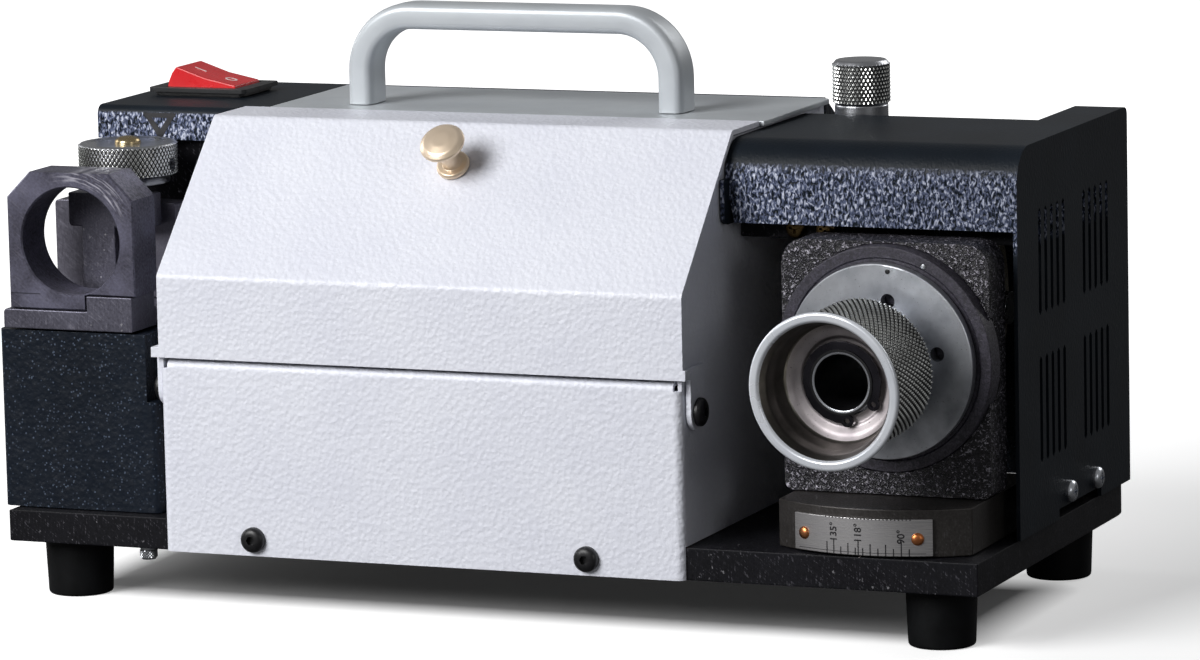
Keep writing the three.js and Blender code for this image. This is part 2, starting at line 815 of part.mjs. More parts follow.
// Rear cover of the left and centre sections, with vent slots and end walls
function rearCover() {
  const front = topBack + seat;
  const right = centreRight;
  const sheet = extrudeX(foldedSheet([
    [rearY, deck + seat], [rearY, rearShoulder, foldRadius], [front + coverWall, topHeight],
  ], coverWall), leftEdge, right);
  const endWall = outline([
    [front + coverWall, topHeight - coverWall], [rearY - coverWall / 2, rearShoulder - coverWall],
    [rearY - coverWall / 2, deck + seat], [front + coverWall, deck + seat],
  ]);
  const ends = [leftEdge, right - coverWall].map((x) => extrudeX(endWall, x, x + coverWall));
  const middle = statorLeft + statorLength / 2;
  const slots = Array.from({ length: rearVentCount }, (_, i) => {
    const x = middle + (i - (rearVentCount - 1) / 2) * rearVentPitch;
    return extrudeY(slot(rearVentWidth, rearVentHeight, x, spindleZ), rearY - overrun, rearY + overrun);
  });
  const glandHole = rodY(glandThreadRadius + seat, rearY - overrun, rearY + overrun, glandX, glandZ);
  return cut(join([sheet, ...ends]), [...slots, glandHole]);
}
add('rear_cover', rearCover(), blueCoat());

// Right cover: roof with its front lip, side panel, rear flange and a flange against the centre wall
function rightCover() {
  const inner = panelOuter - coverWall;
  const roof = extrudeX(foldedSheet([
    [roofBack, roofHeight], [panelFront, roofHeight, roofBend], [panelFront, roofLip],
  ], coverWall, 8), roofLeft, panelOuter);
  const slantCut = extrudeY(outline([
    [roofLeft - overrun, roofLip - overrun], [roofLeft + roofLipSlant, roofLip - overrun],
    [roofLeft + roofLipSlant, roofLip], [roofLeft, roofHeight - roofBend], [roofLeft - overrun, roofHeight - roofBend],
  ]), panelFront - overrun, panelFront + roofBend);
  const panel = extrudeX(outline([
    [panelFront, deck + seat], [notchFront, deck + seat], [notchFront, deck + notchHeight],
    [notchBack, deck + notchHeight], [notchBack, deck + seat], [panelBack, deck + seat],
    [panelBack, roofHeight, foldRadius], [panelFront, roofHeight, roofBend],
  ], 8), inner, panelOuter);
  const flange = block(panelOuter - flangeWidth, panelOuter, roofBack - coverWall, panelBack - foldRadius,
    roofHeight - coverWall, roofHeight);
  const wallFlange = extrudeX(outline([
    [wallFlangeFront, wallFlangeBottom, foldRadius], [panelFront + roofBend, wallFlangeBottom],
    [panelFront + roofBend, roofHeight - coverWall / 2], [panelFront + coverWall, roofHeight - roofBend],
    [wallFlangeFront, roofHeight - roofBend],
  ], 3), roofLeft, roofLeft + coverWall);
  const columns = [ventColumnFront, ventColumnRear];
  const rows = [ventRowLow + ventHeight / 2, ventRowHigh + ventHeight / 2];
  const slots = columns.flatMap((y) => rows.flatMap((z) => Array.from({ length: ventCount }, (_, i) =>
    extrudeX(slot(ventWidth, ventHeight, y + i * ventPitch, z), inner - overrun, panelOuter + overrun))));
  return cut(join([cut(roof, [slantCut]), panel, flange, wallFlange]), slots);
}
add('right_cover', rightCover(), blueCoat());

// Bracket hung behind the roof's lip
function roofBracket() {
  const front = panelFront + coverWall + roofBracketSetback;
  const top = roofHeight - coverWall - seat;
  return extrudeX(foldedSheet([
    [front + roofBracketFlange, top], [front, top, foldRadius], [front, roofBracketBottom],
  ], coverWall), roofLeft, panelOuter - coverWall - seat);
}
add('roof_bracket', roofBracket(), blackSteel());

// Wheel access cover: closes the right chamber behind the roof
function accessCover() {
  const left = centreRight + seat;
  const right = panelOuter - coverWall - seat;
  const sheet = extrudeX(foldedSheet([
    [rearY, deck + seat], [rearY, accessShoulder, foldRadius], [roofBack + seat, accessFrontHeight],
  ], coverWall), left, right);
  const hole = rodZ(thumbStudRadius + running, accessShoulder - overrun, accessFrontHeight + overrun, thumbX, thumbY);
  const middle = (left + right) / 2;
  const slots = Array.from({ length: rearVentCount }, (_, i) => {
    const x = middle + (i - (rearVentCount - 1) / 2) * rearVentPitch;
    return extrudeY(slot(rearVentWidth, rearVentHeight, x, spindleZ), rearY - overrun, rearY + overrun);
  });
  return cut(sheet, [hole, ...slots]);
}
add('wheel_access_cover', accessCover(), blueCoat());

// Height of the access cover's upper face where the thumb knob stands
const accessFall = (accessFrontHeight - accessShoulder) / (rearY - roofBack - seat);
const thumbSeat = accessFrontHeight - accessFall * (thumbY - thumbCollarRadius - roofBack - seat) + seat;

function thumbKnob() {
  const knurlBottom = thumbTop - thumbKnurl;
  const bevel = thumbRadius * 0.12;
  return moved(lathe([
    [0, thumbSeat - thumbStud], [thumbStudRadius, thumbSeat - thumbStud], [thumbStudRadius, thumbSeat],
    [thumbCollarRadius, thumbSeat], [thumbCollarRadius, knurlBottom], [thumbRadius - bevel, knurlBottom],
    [thumbRadius, knurlBottom + bevel], [thumbRadius, thumbTop - 2 * bevel],
    [thumbRadius - 1.6 * bevel, thumbTop], [0, thumbTop],
  ], smallSides), thumbX, thumbY, 0);
}
add('thumb_knob', thumbKnob(), zinc());

// Threaded block on the centre wall that takes the thumb knob's stud
function thumbBlock() {
  const top = thumbSeat - thumbStud * 0.4;
  const bottom = thumbSeat - thumbStud - thumbBoss;
  const arm = block(centreRight + seat, thumbX, thumbY - thumbBoss, thumbY + thumbBoss, bottom, top);
  const boss = rodZ(thumbBoss, bottom, top, thumbX, thumbY);
  const thread = rodZ(thumbStudRadius + running, bottom - overrun, top + overrun, thumbX, thumbY);
  return cut(arm.add(boss), [thread]);
}
add('thumb_block', thumbBlock(), blackSteel());

// Left housing: a five-sided sheet box with a notch for the lid's ear
function leftHousing() {
  const plan = (inset) => outline([
    [leftHousingLeft + inset, leftHousingFront + inset, foldRadius - inset],
    [leftHousingRight - inset, leftHousingFront + inset, foldRadius - inset],
    [leftHousingRight - inset, leftHousingBack - inset], [leftHousingLeft + inset, leftHousingBack - inset],
  ]);
  const box = extrudeZ(plan(0), deck + seat, leftHousingTop);
  const hollow = extrudeZ(plan(coverWall), deck - overrun, leftHousingTop - coverWall);
  const notch = block(leftHousingRight - earNotchWidth, leftHousingRight + overrun,
    leftHousingFront - overrun, leftHousingFront + earNotchDepth, earNotchBottom, leftHousingTop + overrun);
  const notchLiner = block(leftHousingRight - earNotchWidth - coverWall, leftHousingRight - coverWall / 2,
    leftHousingFront + coverWall / 2, leftHousingFront + earNotchDepth + coverWall,
    earNotchBottom - coverWall, leftHousingTop - coverWall / 2);
  const pillarHole = block(pillarLeft - seat, pillarLeft + pillarWidth + seat, pillarFront - seat,
    pillarFront + pillarDepth + seat, leftHousingTop - overrun, leftHousingTop + overrun);
  return cut(cut(box, [hollow]).add(notchLiner), [notch, pillarHole]);
}
const pillarLeft = gaugeBaseLeft + (gaugeBaseRight - gaugeBaseLeft - pillarWidth) / 2;
const pillarFront = gaugeFront + (gaugeBaseDepth - pillarDepth) / 2;
add('left_housing', leftHousing(), blueCoat());

// Steel pillar inside the left housing: it carries the setting gauge
function gaugePillar() {
  return block(pillarLeft, pillarLeft + pillarWidth, pillarFront, pillarFront + pillarDepth,
    deck + seat, leftHousingTop + seat);
}
add('gauge_pillar', gaugePillar(), blackSteel());

// Stepped base of the gauge
const gaugeBaseBottom = leftHousingTop + 2 * seat;
function gaugeBase() {
  const low = gaugeBaseBottom + gaugeBaseLow;
  const high = gaugeBaseBottom + gaugeBaseHigh;
  const step = outline([
    [gaugeBaseLeft, gaugeBaseBottom], [gaugeBaseRight, gaugeBaseBottom],
    [gaugeBaseRight, high], [gaugeStepX, high], [gaugeStepX, low], [gaugeBaseLeft, low, footRim],
  ], 3);
  const flat = outline([
    [gaugeBaseLeft, gaugeBaseBottom], [gaugeBaseRight, gaugeBaseBottom],
    [gaugeBaseRight, low], [gaugeBaseLeft, low, footRim],
  ], 3);
  const split = gaugeFront + gaugeDepth + seat;
  return extrudeY(step, gaugeFront, split).add(extrudeY(flat, gaugeFront, gaugeFront + gaugeBaseDepth));
}
add('gauge_base', gaugeBase(), blackSteel());

// Gauge block with the bore that takes the chuck for setting the drill's length
function gaugeBlock() {
  const low = gaugeBaseBottom + gaugeBaseLow + seat;
  const high = gaugeBaseBottom + gaugeBaseHigh + seat;
  const face = outline([
    [gaugeLeft, low], [gaugeStepX - seat, low], [gaugeStepX - seat, high], [gaugeRight, high],
    [gaugeRight, gaugeTop - gaugeChamfer, gaugeChamfer / 3], [gaugeRight - gaugeChamfer, gaugeTop, gaugeChamfer / 3],
    [gaugeLeft + gaugeChamfer, gaugeTop, gaugeChamfer / 3], [gaugeLeft, gaugeTop - gaugeChamfer, gaugeChamfer / 3],
  ], 3);
  const bore = rodY(gaugeBoreRadius, gaugeFront - overrun, gaugeFront + gaugeDepth + overrun,
    gaugeBoreX, gaugeBoreZ, roundSides);
  return cut(extrudeY(face, gaugeFront, gaugeFront + gaugeDepth), [bore]);
}
add('gauge_block', gaugeBlock(), blackSteel());

// Upright stop plate behind the gauge, with a window for the stop's key and a hole for the shaft
const keyX = adjustX;
const keyZ = (stopSlideBottom + stopPlateTop) / 2 - stopKeyHeight / 2;
function stopPlate() {
  const plate = extrudeY(outline([
    [stopPlateLeft, gaugeBaseBottom + gaugeBaseLow + seat], [stopPlateRight, gaugeBaseBottom + gaugeBaseLow + seat],
    [stopPlateRight, stopPlateTop, footRim], [stopPlateLeft, stopPlateTop, footRim],
  ], 3), stopPlateFront, stopPlateFront + stopPlateThick);
  const window = block(keyX - stopKeyWidth / 2 - running, keyX + stopKeyWidth / 2 + running,
    stopPlateFront - overrun, stopPlateFront + stopPlateThick + overrun,
    keyZ - stopKeyHeight / 2 - running, keyZ + stopKeyHeight / 2 + running);
  const shaftHole = rodZ(adjustShaftRadius + running, keyZ, stopPlateTop + overrun, adjustX, adjustY);
  return cut(plate, [window, shaftHole]);
}
add('stop_plate', stopPlate(), greySteel());

// Length stop: crossbar, hanging blade and the key that the adjusting shaft's offset pin drives
function stopSlide() {
  const back = stopPlateFront - seat - stopTravel / 2;
  const front = back - stopSlideThick;
  const bar = outline([
    [stopSlideLeft, stopSlideBottom, footRim], [stopBladeX - stopBladeWidth / 2, stopSlideBottom],
    [stopBladeX - stopBladeWidth / 2, stopBladeBottom, footRim], [stopBladeX + stopBladeWidth / 2, stopBladeBottom, footRim],
    [stopBladeX + stopBladeWidth / 2, stopSlideBottom], [stopSlideLeft + stopSlideWidth, stopSlideBottom, footRim],
    [stopSlideLeft + stopSlideWidth, stopSlideTop], [stopSlideLeft, stopSlideTop],
  ], 3);
  const key = block(keyX - stopKeyWidth / 2, keyX + stopKeyWidth / 2, front + stopSlideThick / 2,
    back + stopKeyReach, keyZ - stopKeyHeight / 2, keyZ + stopKeyHeight / 2);
  const pinReach = adjustPinOffset + adjustPinRadius;
  const pinSlot = block(adjustX - pinReach - running, adjustX + pinReach + running,
    adjustY - adjustPinRadius - 2 * running, adjustY + adjustPinRadius + 2 * running,
    keyZ - stopKeyHeight, keyZ + stopKeyHeight);
  return cut(extrudeY(bar, front, back).add(key), [pinSlot]);
}
add('stop_slide', stopSlide(), blackSteel());

// Adjusting knob with its collar, shaft and offset pin
function adjustKnob() {
  const bottom = adjustTop - adjustHeight;
  const collarBottom = bottom - adjustCollar;
  const shaftBottom = keyZ + stopKeyHeight / 2 + running;
  const body = moved(lathe([
    [0, shaftBottom], [adjustShaftRadius, shaftBottom], [adjustShaftRadius, collarBottom],
    [adjustCollarRadius, collarBottom], [adjustCollarRadius, bottom], [adjustRadius - adjustEdge, bottom],
    [adjustRadius, bottom + adjustEdge], [adjustRadius, adjustTop - adjustEdge],
    [adjustRadius - adjustEdge, adjustTop], [0, adjustTop],
  ], roundSides), adjustX, adjustY, 0);
  const pin = rodZ(adjustPinRadius, keyZ - stopKeyHeight / 2, shaftBottom + overrun, adjustX - adjustPinOffset,
    adjustY, tinySides);
  const hole = rodX(adjustHoleRadius, adjustX + adjustRadius - adjustShaftRadius, adjustX + adjustRadius + overrun,
    adjustY, bottom + adjustHeight * adjustHoleShare, tinySides);
  return cut(body.add(pin), [hole]);
}
add('adjust_knob', adjustKnob(), zinc());

function adjustScrew() {
  const base = adjustTop + seat;
  return moved(lathe([
    [0, base], [adjustDomeRadius, base], [adjustDomeRadius * 0.82, base + adjustDomeHeight * 0.6],
    [adjustDomeRadius * 0.45, base + adjustDomeHeight], [0, base + adjustDomeHeight],
  ], tinySides), adjustX, adjustY, 0);
}
add('adjust_screw', adjustScrew(), brass());

// Upper left cover: top sheet with a front lip and a left wall, open under the lip
function upperLeftCover() {
  const back = topBack;
  const right = centreLeft - seat;
  const lipAndTop = extrudeX(foldedSheet([
    [back, topHeight], [upperLipFront, topHeight, upperBend], [upperLipFront, upperLipBottom],
  ], coverWall), leftEdge, right);
  const tongue = block(right - coverWall, topPlateLeft - seat, lidTopBack + running, back,
    topHeight - coverWall, topHeight);
  const side = extrudeX(outline([
    [upperLipFront, upperLipBottom], [innerWallY, upperLipBottom], [innerWallY, leftHousingTop + seat],
    [back, leftHousingTop + seat], [back, topHeight], [upperLipFront, topHeight, upperBend],
  ]), leftEdge, leftEdge + coverWall);
  const opening = extrudeZ(outline([
    [switchX - switchBodyLength / 2 - seat, switchY - switchBodyDepth / 2 - seat],
    [switchX + switchBodyLength / 2 + seat, switchY - switchBodyDepth / 2 - seat],
    [switchX + switchBodyLength / 2 + seat, switchY + switchBodyDepth / 2 + seat],
    [switchX - switchBodyLength / 2 - seat, switchY + switchBodyDepth / 2 + seat],
  ]), topHeight - overrun, topHeight + overrun);
  return cut(join([lipAndTop, tongue, side]), [opening]);
}
add('upper_left_cover', upperLeftCover(), blueCoat());

// Inner front wall of the switch compartment, set back under the lip
function switchWall() {
  const left = leftEdge + coverWall + seat;
  const right = centreLeft - seat;
  return extrudeX(foldedSheet([
    [innerWallY + seat, leftHousingTop + seat], [innerWallY + seat, topHeight - coverWall - seat, foldRadius],
    [innerWallY + 3 * foldRadius, topHeight - coverWall - seat],
  ].reverse(), coverWall), left, right);
}
add('switch_wall', switchWall(), blackSteel());

// Switch housing: bevelled bezel, body below the cover and a cavity for the rocker
function switchHousing() {
  const top = topHeight + bezelHeight;
  const ring = (grow) => outline([
    [switchX - bezelLength / 2 - grow, switchY - bezelDepth / 2 - grow, bezelCorner],
    [switchX + bezelLength / 2 + grow, switchY - bezelDepth / 2 - grow, bezelCorner],
    [switchX + bezelLength / 2 + grow, switchY + bezelDepth / 2 + grow, bezelCorner],
    [switchX - bezelLength / 2 - grow, switchY + bezelDepth / 2 + grow, bezelCorner],
  ], 3);
  const plate = extrudeZ(ring(0), topHeight + bezelHeight / 2, top);
  const gasket = extrudeZ(ring(-bezelChamfer), topHeight + seat, topHeight + bezelHeight / 2);
  const body = block(switchX - switchBodyLength / 2, switchX + switchBodyLength / 2,
    switchY - switchBodyDepth / 2, switchY + switchBodyDepth / 2, topHeight - switchBodyDrop, top - bezelHeight / 2);
  const cavity = block(switchX - rockerRadius - running, switchX + rockerRadius + running,
    switchY - rockerDepth / 2 - running, switchY + rockerDepth / 2 + running, topHeight - switchCavityDrop, top + overrun);
  return cut(join([plate, gasket, body]), [cavity]);
}
add('switch_housing', switchHousing(), blackPlastic());

// Rocker: two faces meeting in a shallow valley between ends that follow the pivot's circle
function switchRocker() {
  const steps = 4;
  const rightEnd = Array.from({ length: steps + 1 }, (_, i) => {
    const angle = THREE.MathUtils.degToRad(
      THREE.MathUtils.lerp(rockerBrowDegrees, rockerSkirtDegrees, i / steps));
    return new THREE.Vector2(rockerRadius * Math.cos(angle), rockerRadius * Math.sin(angle));
  });
  const leftEnd = rightEnd.map((point) => new THREE.Vector2(-point.x, point.y)).reverse();
  const profile = new THREE.Shape([
    new THREE.Vector2(0, rightEnd[0].y - rockerValley), ...rightEnd,
    new THREE.Vector2(rockerKeelHalf, -rockerKeel), new THREE.Vector2(-rockerKeelHalf, -rockerKeel), ...leftEnd,
  ]);
  const solid = extrudeY(profile, -rockerDepth / 2, rockerDepth / 2);
  const lean = THREE.MathUtils.degToRad(rockerThrow);
  const tilted = place(solid, new THREE.Matrix4().makeRotationY(lean));
  return moved(tilted, switchX, switchY, topHeight + bezelHeight - rockerPivotDrop);
}
add('switch_rocker', switchRocker(), redPlastic());

function capacitor() {
  const base = deck + seat;
  const top = base + capacitorHeight;
  const rim = capacitorRadius * 0.1;
  return moved(lathe([
    [0, base], [capacitorRadius, base], [capacitorRadius, top - rim], [capacitorRadius - rim, top], [0, top],
  ], smallSides), capacitorX, capacitorY, 0);
}
add('capacitor', capacitor(), zinc());

// Cable gland: threaded stem through the rear cover, hexagon and rounded clamping nut
function cableGland() {
  const stemFront = rearY - coverWall - glandStem;
  const hexFront = rearY + seat;
  const hexBack = hexFront + glandHexagon;
  const back = hexFront + glandLength;
  const hexagon = Array.from({ length: 6 }, (_, i) => {
    const angle = (i * Math.PI) / 3;
    return [glandX + glandRadius * Math.cos(angle), glandZ + glandRadius * Math.sin(angle)];
  });
  const turned = lathe([
    [glandBore, stemFront], [glandThreadRadius, stemFront], [glandThreadRadius, (hexFront + hexBack) / 2],
    [glandNutRadius, (hexFront + hexBack) / 2], [glandNutRadius, hexBack + glandHexagon],
    [glandMouthRadius, back], [glandBore, back], [glandBore, stemFront],
  ], smallSides);
  const round = moved(place(turned, new THREE.Matrix4().makeRotationX(-Math.PI / 2)), glandX, 0, glandZ);
  const nut = extrudeY(outline(hexagon), hexFront, hexBack);
  const bore = rodY(glandBore, hexFront - overrun, hexBack + overrun, glandX, glandZ);
  return cut(nut, [bore]).add(round);
}
add('cable_gland', cableGland(), blackPlastic());

// Motor: finned stator shell, two end bells, rotor on the long spindle and cooling fan
function statorShell() {
  const right = statorLeft + statorLength;
  const inner = statorRadius - statorFinDepth;
  const ring = Array.from({ length: statorFins * 2 }, (_, i) => {
    const radius = i % 2 ? inner : statorRadius;
    return [0.25, 0.75].map((share) => {
      const angle = ((i + share) / (statorFins * 2)) * 2 * Math.PI;
      return new THREE.Vector2(radius * Math.cos(angle), radius * Math.sin(angle));
    });
  }).flat();
  const core = moved(extrudeX(new THREE.Shape(ring), statorLeft, right), 0, spindleY, spindleZ);
  return cut(core, [rodX(statorBore, statorLeft - overrun, right + overrun, spindleY, spindleZ, roundSides)]);
}
add('motor_stator', statorShell(), castBlack());

function endBell(side) {
  const face = side > 0 ? statorLeft + statorLength + seat : statorLeft - seat;
  const rim = statorRadius - statorFinDepth - seat;
  const bell = lathe([
    [bearingRadius + seat, 0], [rim, 0], [rim, endBellLength * 0.35], [endBellHubRadius, endBellLength * 0.8],
    [endBellHubRadius, endBellLength], [shaftRadius + running, endBellLength],
    [shaftRadius + running, bearingWidth + 2 * seat], [bearingRadius + seat, bearingWidth + 2 * seat],
    [bearingRadius + seat, 0],
  ], smallSides);
  const turn = new THREE.Matrix4().makeRotationY((side * Math.PI) / 2);
  return moved(place(bell, turn), face, spindleY, spindleZ);
}
add('motor_end_left', endBell(-1), castBlack());
add('motor_end_right', endBell(1), castBlack());

function bearing(left) {
  const ring = latheX([
    [shaftRadius + running, 0], [bearingRadius, 0], [bearingRadius, bearingWidth],
    [shaftRadius + running, bearingWidth], [shaftRadius + running, 0],
  ], smallSides);
  return moved(ring, left, spindleY, spindleZ);
}
const pedestalBearingLeft = pedestalLeft + (pedestalWidth - bearingWidth) / 2;
add('bearing_left', bearing(statorLeft - 2 * seat - bearingWidth), zinc());
add('bearing_right', bearing(statorLeft + statorLength + 2 * seat), zinc());
add('bearing_spindle', bearing(pedestalBearingLeft), zinc());

function rotor() {
  const left = statorLeft + 2 * seat;
  const right = statorLeft + statorLength - 2 * seat;
  return moved(latheX([
    [0, shaftLeft], [shaftRadius, shaftLeft], [shaftRadius, left], [rotorRadius, left], [rotorRadius, right],
    [shaftRadius, right], [shaftRadius, shaftRight], [0, shaftRight],
  ], smallSides), 0, spindleY, spindleZ);
}
add('rotor_spindle', rotor(), zinc());

function fan() {
  const hub = cut(rodX(fanHubRadius, fanLeft, fanLeft + fanWidth, 0, 0),
    [rodX(shaftRadius + seat, fanLeft - overrun, fanLeft + fanWidth + overrun, 0, 0)]);
  const blade = extrudeX(outline([
    [fanHubRadius * 0.85, -fanBladeThick / 2], [fanRadius, -fanBladeThick / 2],
    [fanRadius, fanBladeThick / 2], [fanHubRadius * 0.85, fanBladeThick / 2],
  ]), fanLeft, fanLeft + fanWidth);
  const blades = Array.from({ length: fanBlades }, (_, i) => blade.rotate([(360 * i) / fanBlades, 0, 0]));
  const disc = cut(rodX(fanRadius, fanLeft, fanLeft + fanBladeThick, 0, 0, roundSides),
    [rodX(fanHubRadius * 0.9, fanLeft - overrun, fanLeft + overrun, 0, 0)]);
  return moved(join([hub, disc, ...blades]), 0, spindleY, spindleZ);
}
add('cooling_fan', fan(), blackPlastic());

// Motor cradle: foot, two curved saddles and a web under the stator
function motorCradle() {
  const bottom = deck + seat;
  const middle = statorLeft + statorLength / 2;
  const left = middle - mountLength / 2;
  const saddle = outline([
    [spindleY - mountSpread / 2 - mountThick, bottom], [spindleY + mountSpread / 2 + mountThick, bottom],
    [spindleY + mountSpread / 2, spindleZ - statorRadius / 2, foldRadius],
    [spindleY - mountSpread / 2, spindleZ - statorRadius / 2, foldRadius],
  ]);
  const saddles = [left, left + mountLength - mountThick].map((x) => extrudeX(saddle, x, x + mountThick));
  const base = block(left, left + mountLength, spindleY - mountSpread / 2 - mountThick,
    spindleY + mountSpread / 2 + mountThick, bottom, bottom + mountThick);
  const web = block(left, left + mountLength, spindleY - mountThick / 2, spindleY + mountThick / 2,
    bottom, spindleZ - statorRadius + mountThick / 2);
  const bed = rodX(statorRadius + seat, left - overrun, left + mountLength + overrun, spindleY, spindleZ, largeSides);
  return cut(join([base, web, ...saddles]), [bed]);
}
add('motor_cradle', motorCradle(), castBlack());

// Pedestal that carries the spindle's outer bearing
function pedestal() {
  const bottom = deck + seat;
  const right = pedestalLeft + pedestalWidth;
  const body = extrudeX(outline([
    [spindleY - pedestalRadius * 1.2, bottom], [spindleY + pedestalRadius * 1.2, bottom],
    [spindleY + pedestalRadius * 1.2, bottom + pedestalFoot, foldRadius], [spindleY + pedestalRadius * 0.8, bottom + pedestalFoot],
    [spindleY + pedestalRadius * 0.7, spindleZ], [spindleY - pedestalRadius * 0.7, spindleZ],
    [spindleY - pedestalRadius * 0.8, bottom + pedestalFoot], [spindleY - pedestalRadius * 1.2, bottom + pedestalFoot, foldRadius],
  ]), pedestalLeft, right);
  const eye = rodX(pedestalRadius, pedestalLeft, right, spindleY, spindleZ, roundSides);
  const bore = rodX(bearingRadius + seat, pedestalLeft - overrun, pedestalBearingLeft + bearingWidth + seat,
    spindleY, spindleZ);
  const throughBore = rodX(shaftRadius + 2 * running, pedestalLeft - overrun, right + overrun, spindleY, spindleZ);
  return cut(body.add(eye), [bore, throughBore]);
}
add('spindle_pedestal', pedestal(), castBlack());

// Grinding wheel with a bevelled rim towards the chuck, clamped between hub flange and nut
function grindingWheel() {
  const right = wheelLeft + wheelWidth;
  return moved(latheX([
    [wheelBore, wheelLeft], [wheelRadius, wheelLeft], [wheelRadius, right - wheelBevelWidth], [wheelBevelRadius, right],
    [wheelBore, right], [wheelBore, wheelLeft],
  ], largeSides), 0, spindleY, spindleZ);
}
add('grinding_wheel', grindingWheel(), abrasive());

function wheelHub() {
  const left = wheelLeft - seat - hubFlange;
  return moved(latheX([
    [shaftRadius + seat, left], [hubFlangeRadius * 0.7, left], [hubFlangeRadius, left + hubFlange * 0.5],
    [hubFlangeRadius, wheelLeft - seat], [shaftRadius + seat, wheelLeft - seat], [shaftRadius + seat, left],
  ], smallSides), 0, spindleY, spindleZ);
}
add('wheel_flange', wheelHub(), greySteel());

function wheelNut() {
  const left = wheelLeft + wheelWidth + seat;
  const hexagon = Array.from({ length: 6 }, (_, i) => {
    const angle = (i * Math.PI) / 3;
    return [hubNutRadius * Math.cos(angle), hubNutRadius * Math.sin(angle)];
  });
  const nut = moved(extrudeX(outline(hexagon), left, left + hubNut), 0, spindleY, spindleZ);
  return cut(nut, [rodX(shaftRadius + seat, left - overrun, left + hubNut + overrun, spindleY, spindleZ)]);
}
add('wheel_nut', wheelNut(), zinc());

// Angle base: a low block with the round front that carries the scale
function angleBase() {
  const bottom = deck + seat;
  const top = deck + drumHeight;
  const angleAt = (x) => Math.acos((x - swivelX) / drumRadius);
  const from = angleAt(drumLeft);
  const to = angleAt(drumRight);
  const steps = 20;
  const front = Array.from({ length: steps + 1 }, (_, i) => {
    const angle = from + ((to - from) * i) / steps;
    return new THREE.Vector2(swivelX + drumRadius * Math.cos(angle), swivelY - drumRadius * Math.sin(angle));
  });
  const plan = new THREE.Shape([...front, new THREE.Vector2(drumRight, drumBack), new THREE.Vector2(drumLeft, drumBack)]);
  const pinHole = rodZ(pivotRadius + seat, bottom - overrun, top + overrun, swivelX, swivelY);
  return cut(extrudeZ(plan, bottom, top), [pinHole]);
}
add('angle_base', angleBase(), blackSteel());

// Scale plate bent round the angle base's front
function scalePlate() {
  const bottom = deck + seat + scaleLift;
  const inner = drumRadius + seat;
  const steps = 18;
  const arc = (radius) => Array.from({ length: steps + 1 }, (_, i) => {
    const angle = THREE.MathUtils.degToRad(scaleFromDegrees + ((scaleToDegrees - scaleFromDegrees) * i) / steps);
    return new THREE.Vector2(swivelX + radius * Math.sin(angle), swivelY - radius * Math.cos(angle));
  });
  const plan = new THREE.Shape([...arc(inner + scaleThick), ...arc(inner).reverse()]);
  return extrudeZ(plan, bottom, bottom + scaleHeight);
}
add('scale_plate', scalePlate(), paint(0xb7b8ba, 0.4, 0.8));

// Chuck line frame: local +Z runs out of the machine along the chuck's axis
const chuckFrame = new THREE.Matrix4().compose(
  new THREE.Vector3(chuckX, chuckY, chuckZ),
  new THREE.Quaternion().setFromEuler(new THREE.Euler(
    Math.PI / 2 + THREE.MathUtils.degToRad(chuckDipDegrees), 0,
    THREE.MathUtils.degToRad(chuckTurnDegrees), 'ZXY')),
  new THREE.Vector3(1, 1, 1));

// Swivel head: rounded square casting, round boss for the port bush, foot on the angle base
const headBottom = deck + drumHeight + running;
function swivelHead() {
  const face = extrudeY(outline([
    [headLeft, headBottom, headToeCorner], [headRight, headBottom, headToeCorner],
    [headRight, headTop, headCorner], [headLeft, headTop, headCorner],
  ], 5), headFront, headFront + headThick);
  const bossBack = -guideFlange - seat - portFlange - portSleeve;
  const boss = place(rod(headBossRadius, bossBack, -guideFlange - seat - portFlange - overrun, roundSides), chuckFrame);
  const footBack = swivelY + headFootRadius;
  const foot = extrudeZ(outline([
    [headLeft + headCorner, headFront + headThick / 2], [headRight - headCorner, headFront + headThick / 2],
    [swivelX + headFootRadius, footBack, headFootRadius * 0.95], [swivelX - headFootRadius, footBack, headFootRadius * 0.95],
  ], 8), headBottom, headBottom + headFootThick);
  const ribProfile = outline([
    [headFront + headThick / 2, headBottom + headFootThick / 2], [footBack - headFootRadius, headBottom + headFootThick / 2],
    [footBack - headFootRadius, headBottom + headFootThick], [swivelY, chuckZ - headBossRadius / 2], [headFront + headThick / 2, chuckZ],
  ]);
  const ribs = [-1, 1].map((side) => {
    const x = swivelX + side * headFootRadius * 0.8;
    return extrudeX(ribProfile, x - headRib / 2, x + headRib / 2);
  });
  const seatRing = place(rod(portFlangeRadius + seat, -guideFlange - portFlange - 2 * seat, overrun * 2, largeSides), chuckFrame);
  const bore = place(rod(portSleeveRadius + seat, bossBack - overrun, overrun, roundSides), chuckFrame);
  const pinHole = rodZ(pivotRadius + running, headBottom - overrun, headBottom + headFootThick + overrun, swivelX, swivelY);
  const headRelief = rodZ(pivotHeadRadius + running, headBottom + headFootThick, spindleZ, swivelX, swivelY);
  return cut(join([face, boss, foot, ...ribs]), [seatRing, bore, pinHole, headRelief]);
}
add('swivel_head', swivelHead(), castBlack());

// Pivot pin: head above the casting's foot, shank down through the angle base and base plate
function pivotPin() {
  const seatZ = headBottom + headFootThick + running;
  const bottom = footHeight + seat;
  return moved(lathe([
    [0, bottom], [pivotRadius, bottom], [pivotRadius, seatZ], [pivotHeadRadius, seatZ],
    [pivotHeadRadius, seatZ + pivotHead * 0.7], [pivotHeadRadius * 0.85, seatZ + pivotHead], [0, seatZ + pivotHead],
  ], smallSides), swivelX, swivelY, 0);
}
add('pivot_pin', pivotPin(), greySteel());

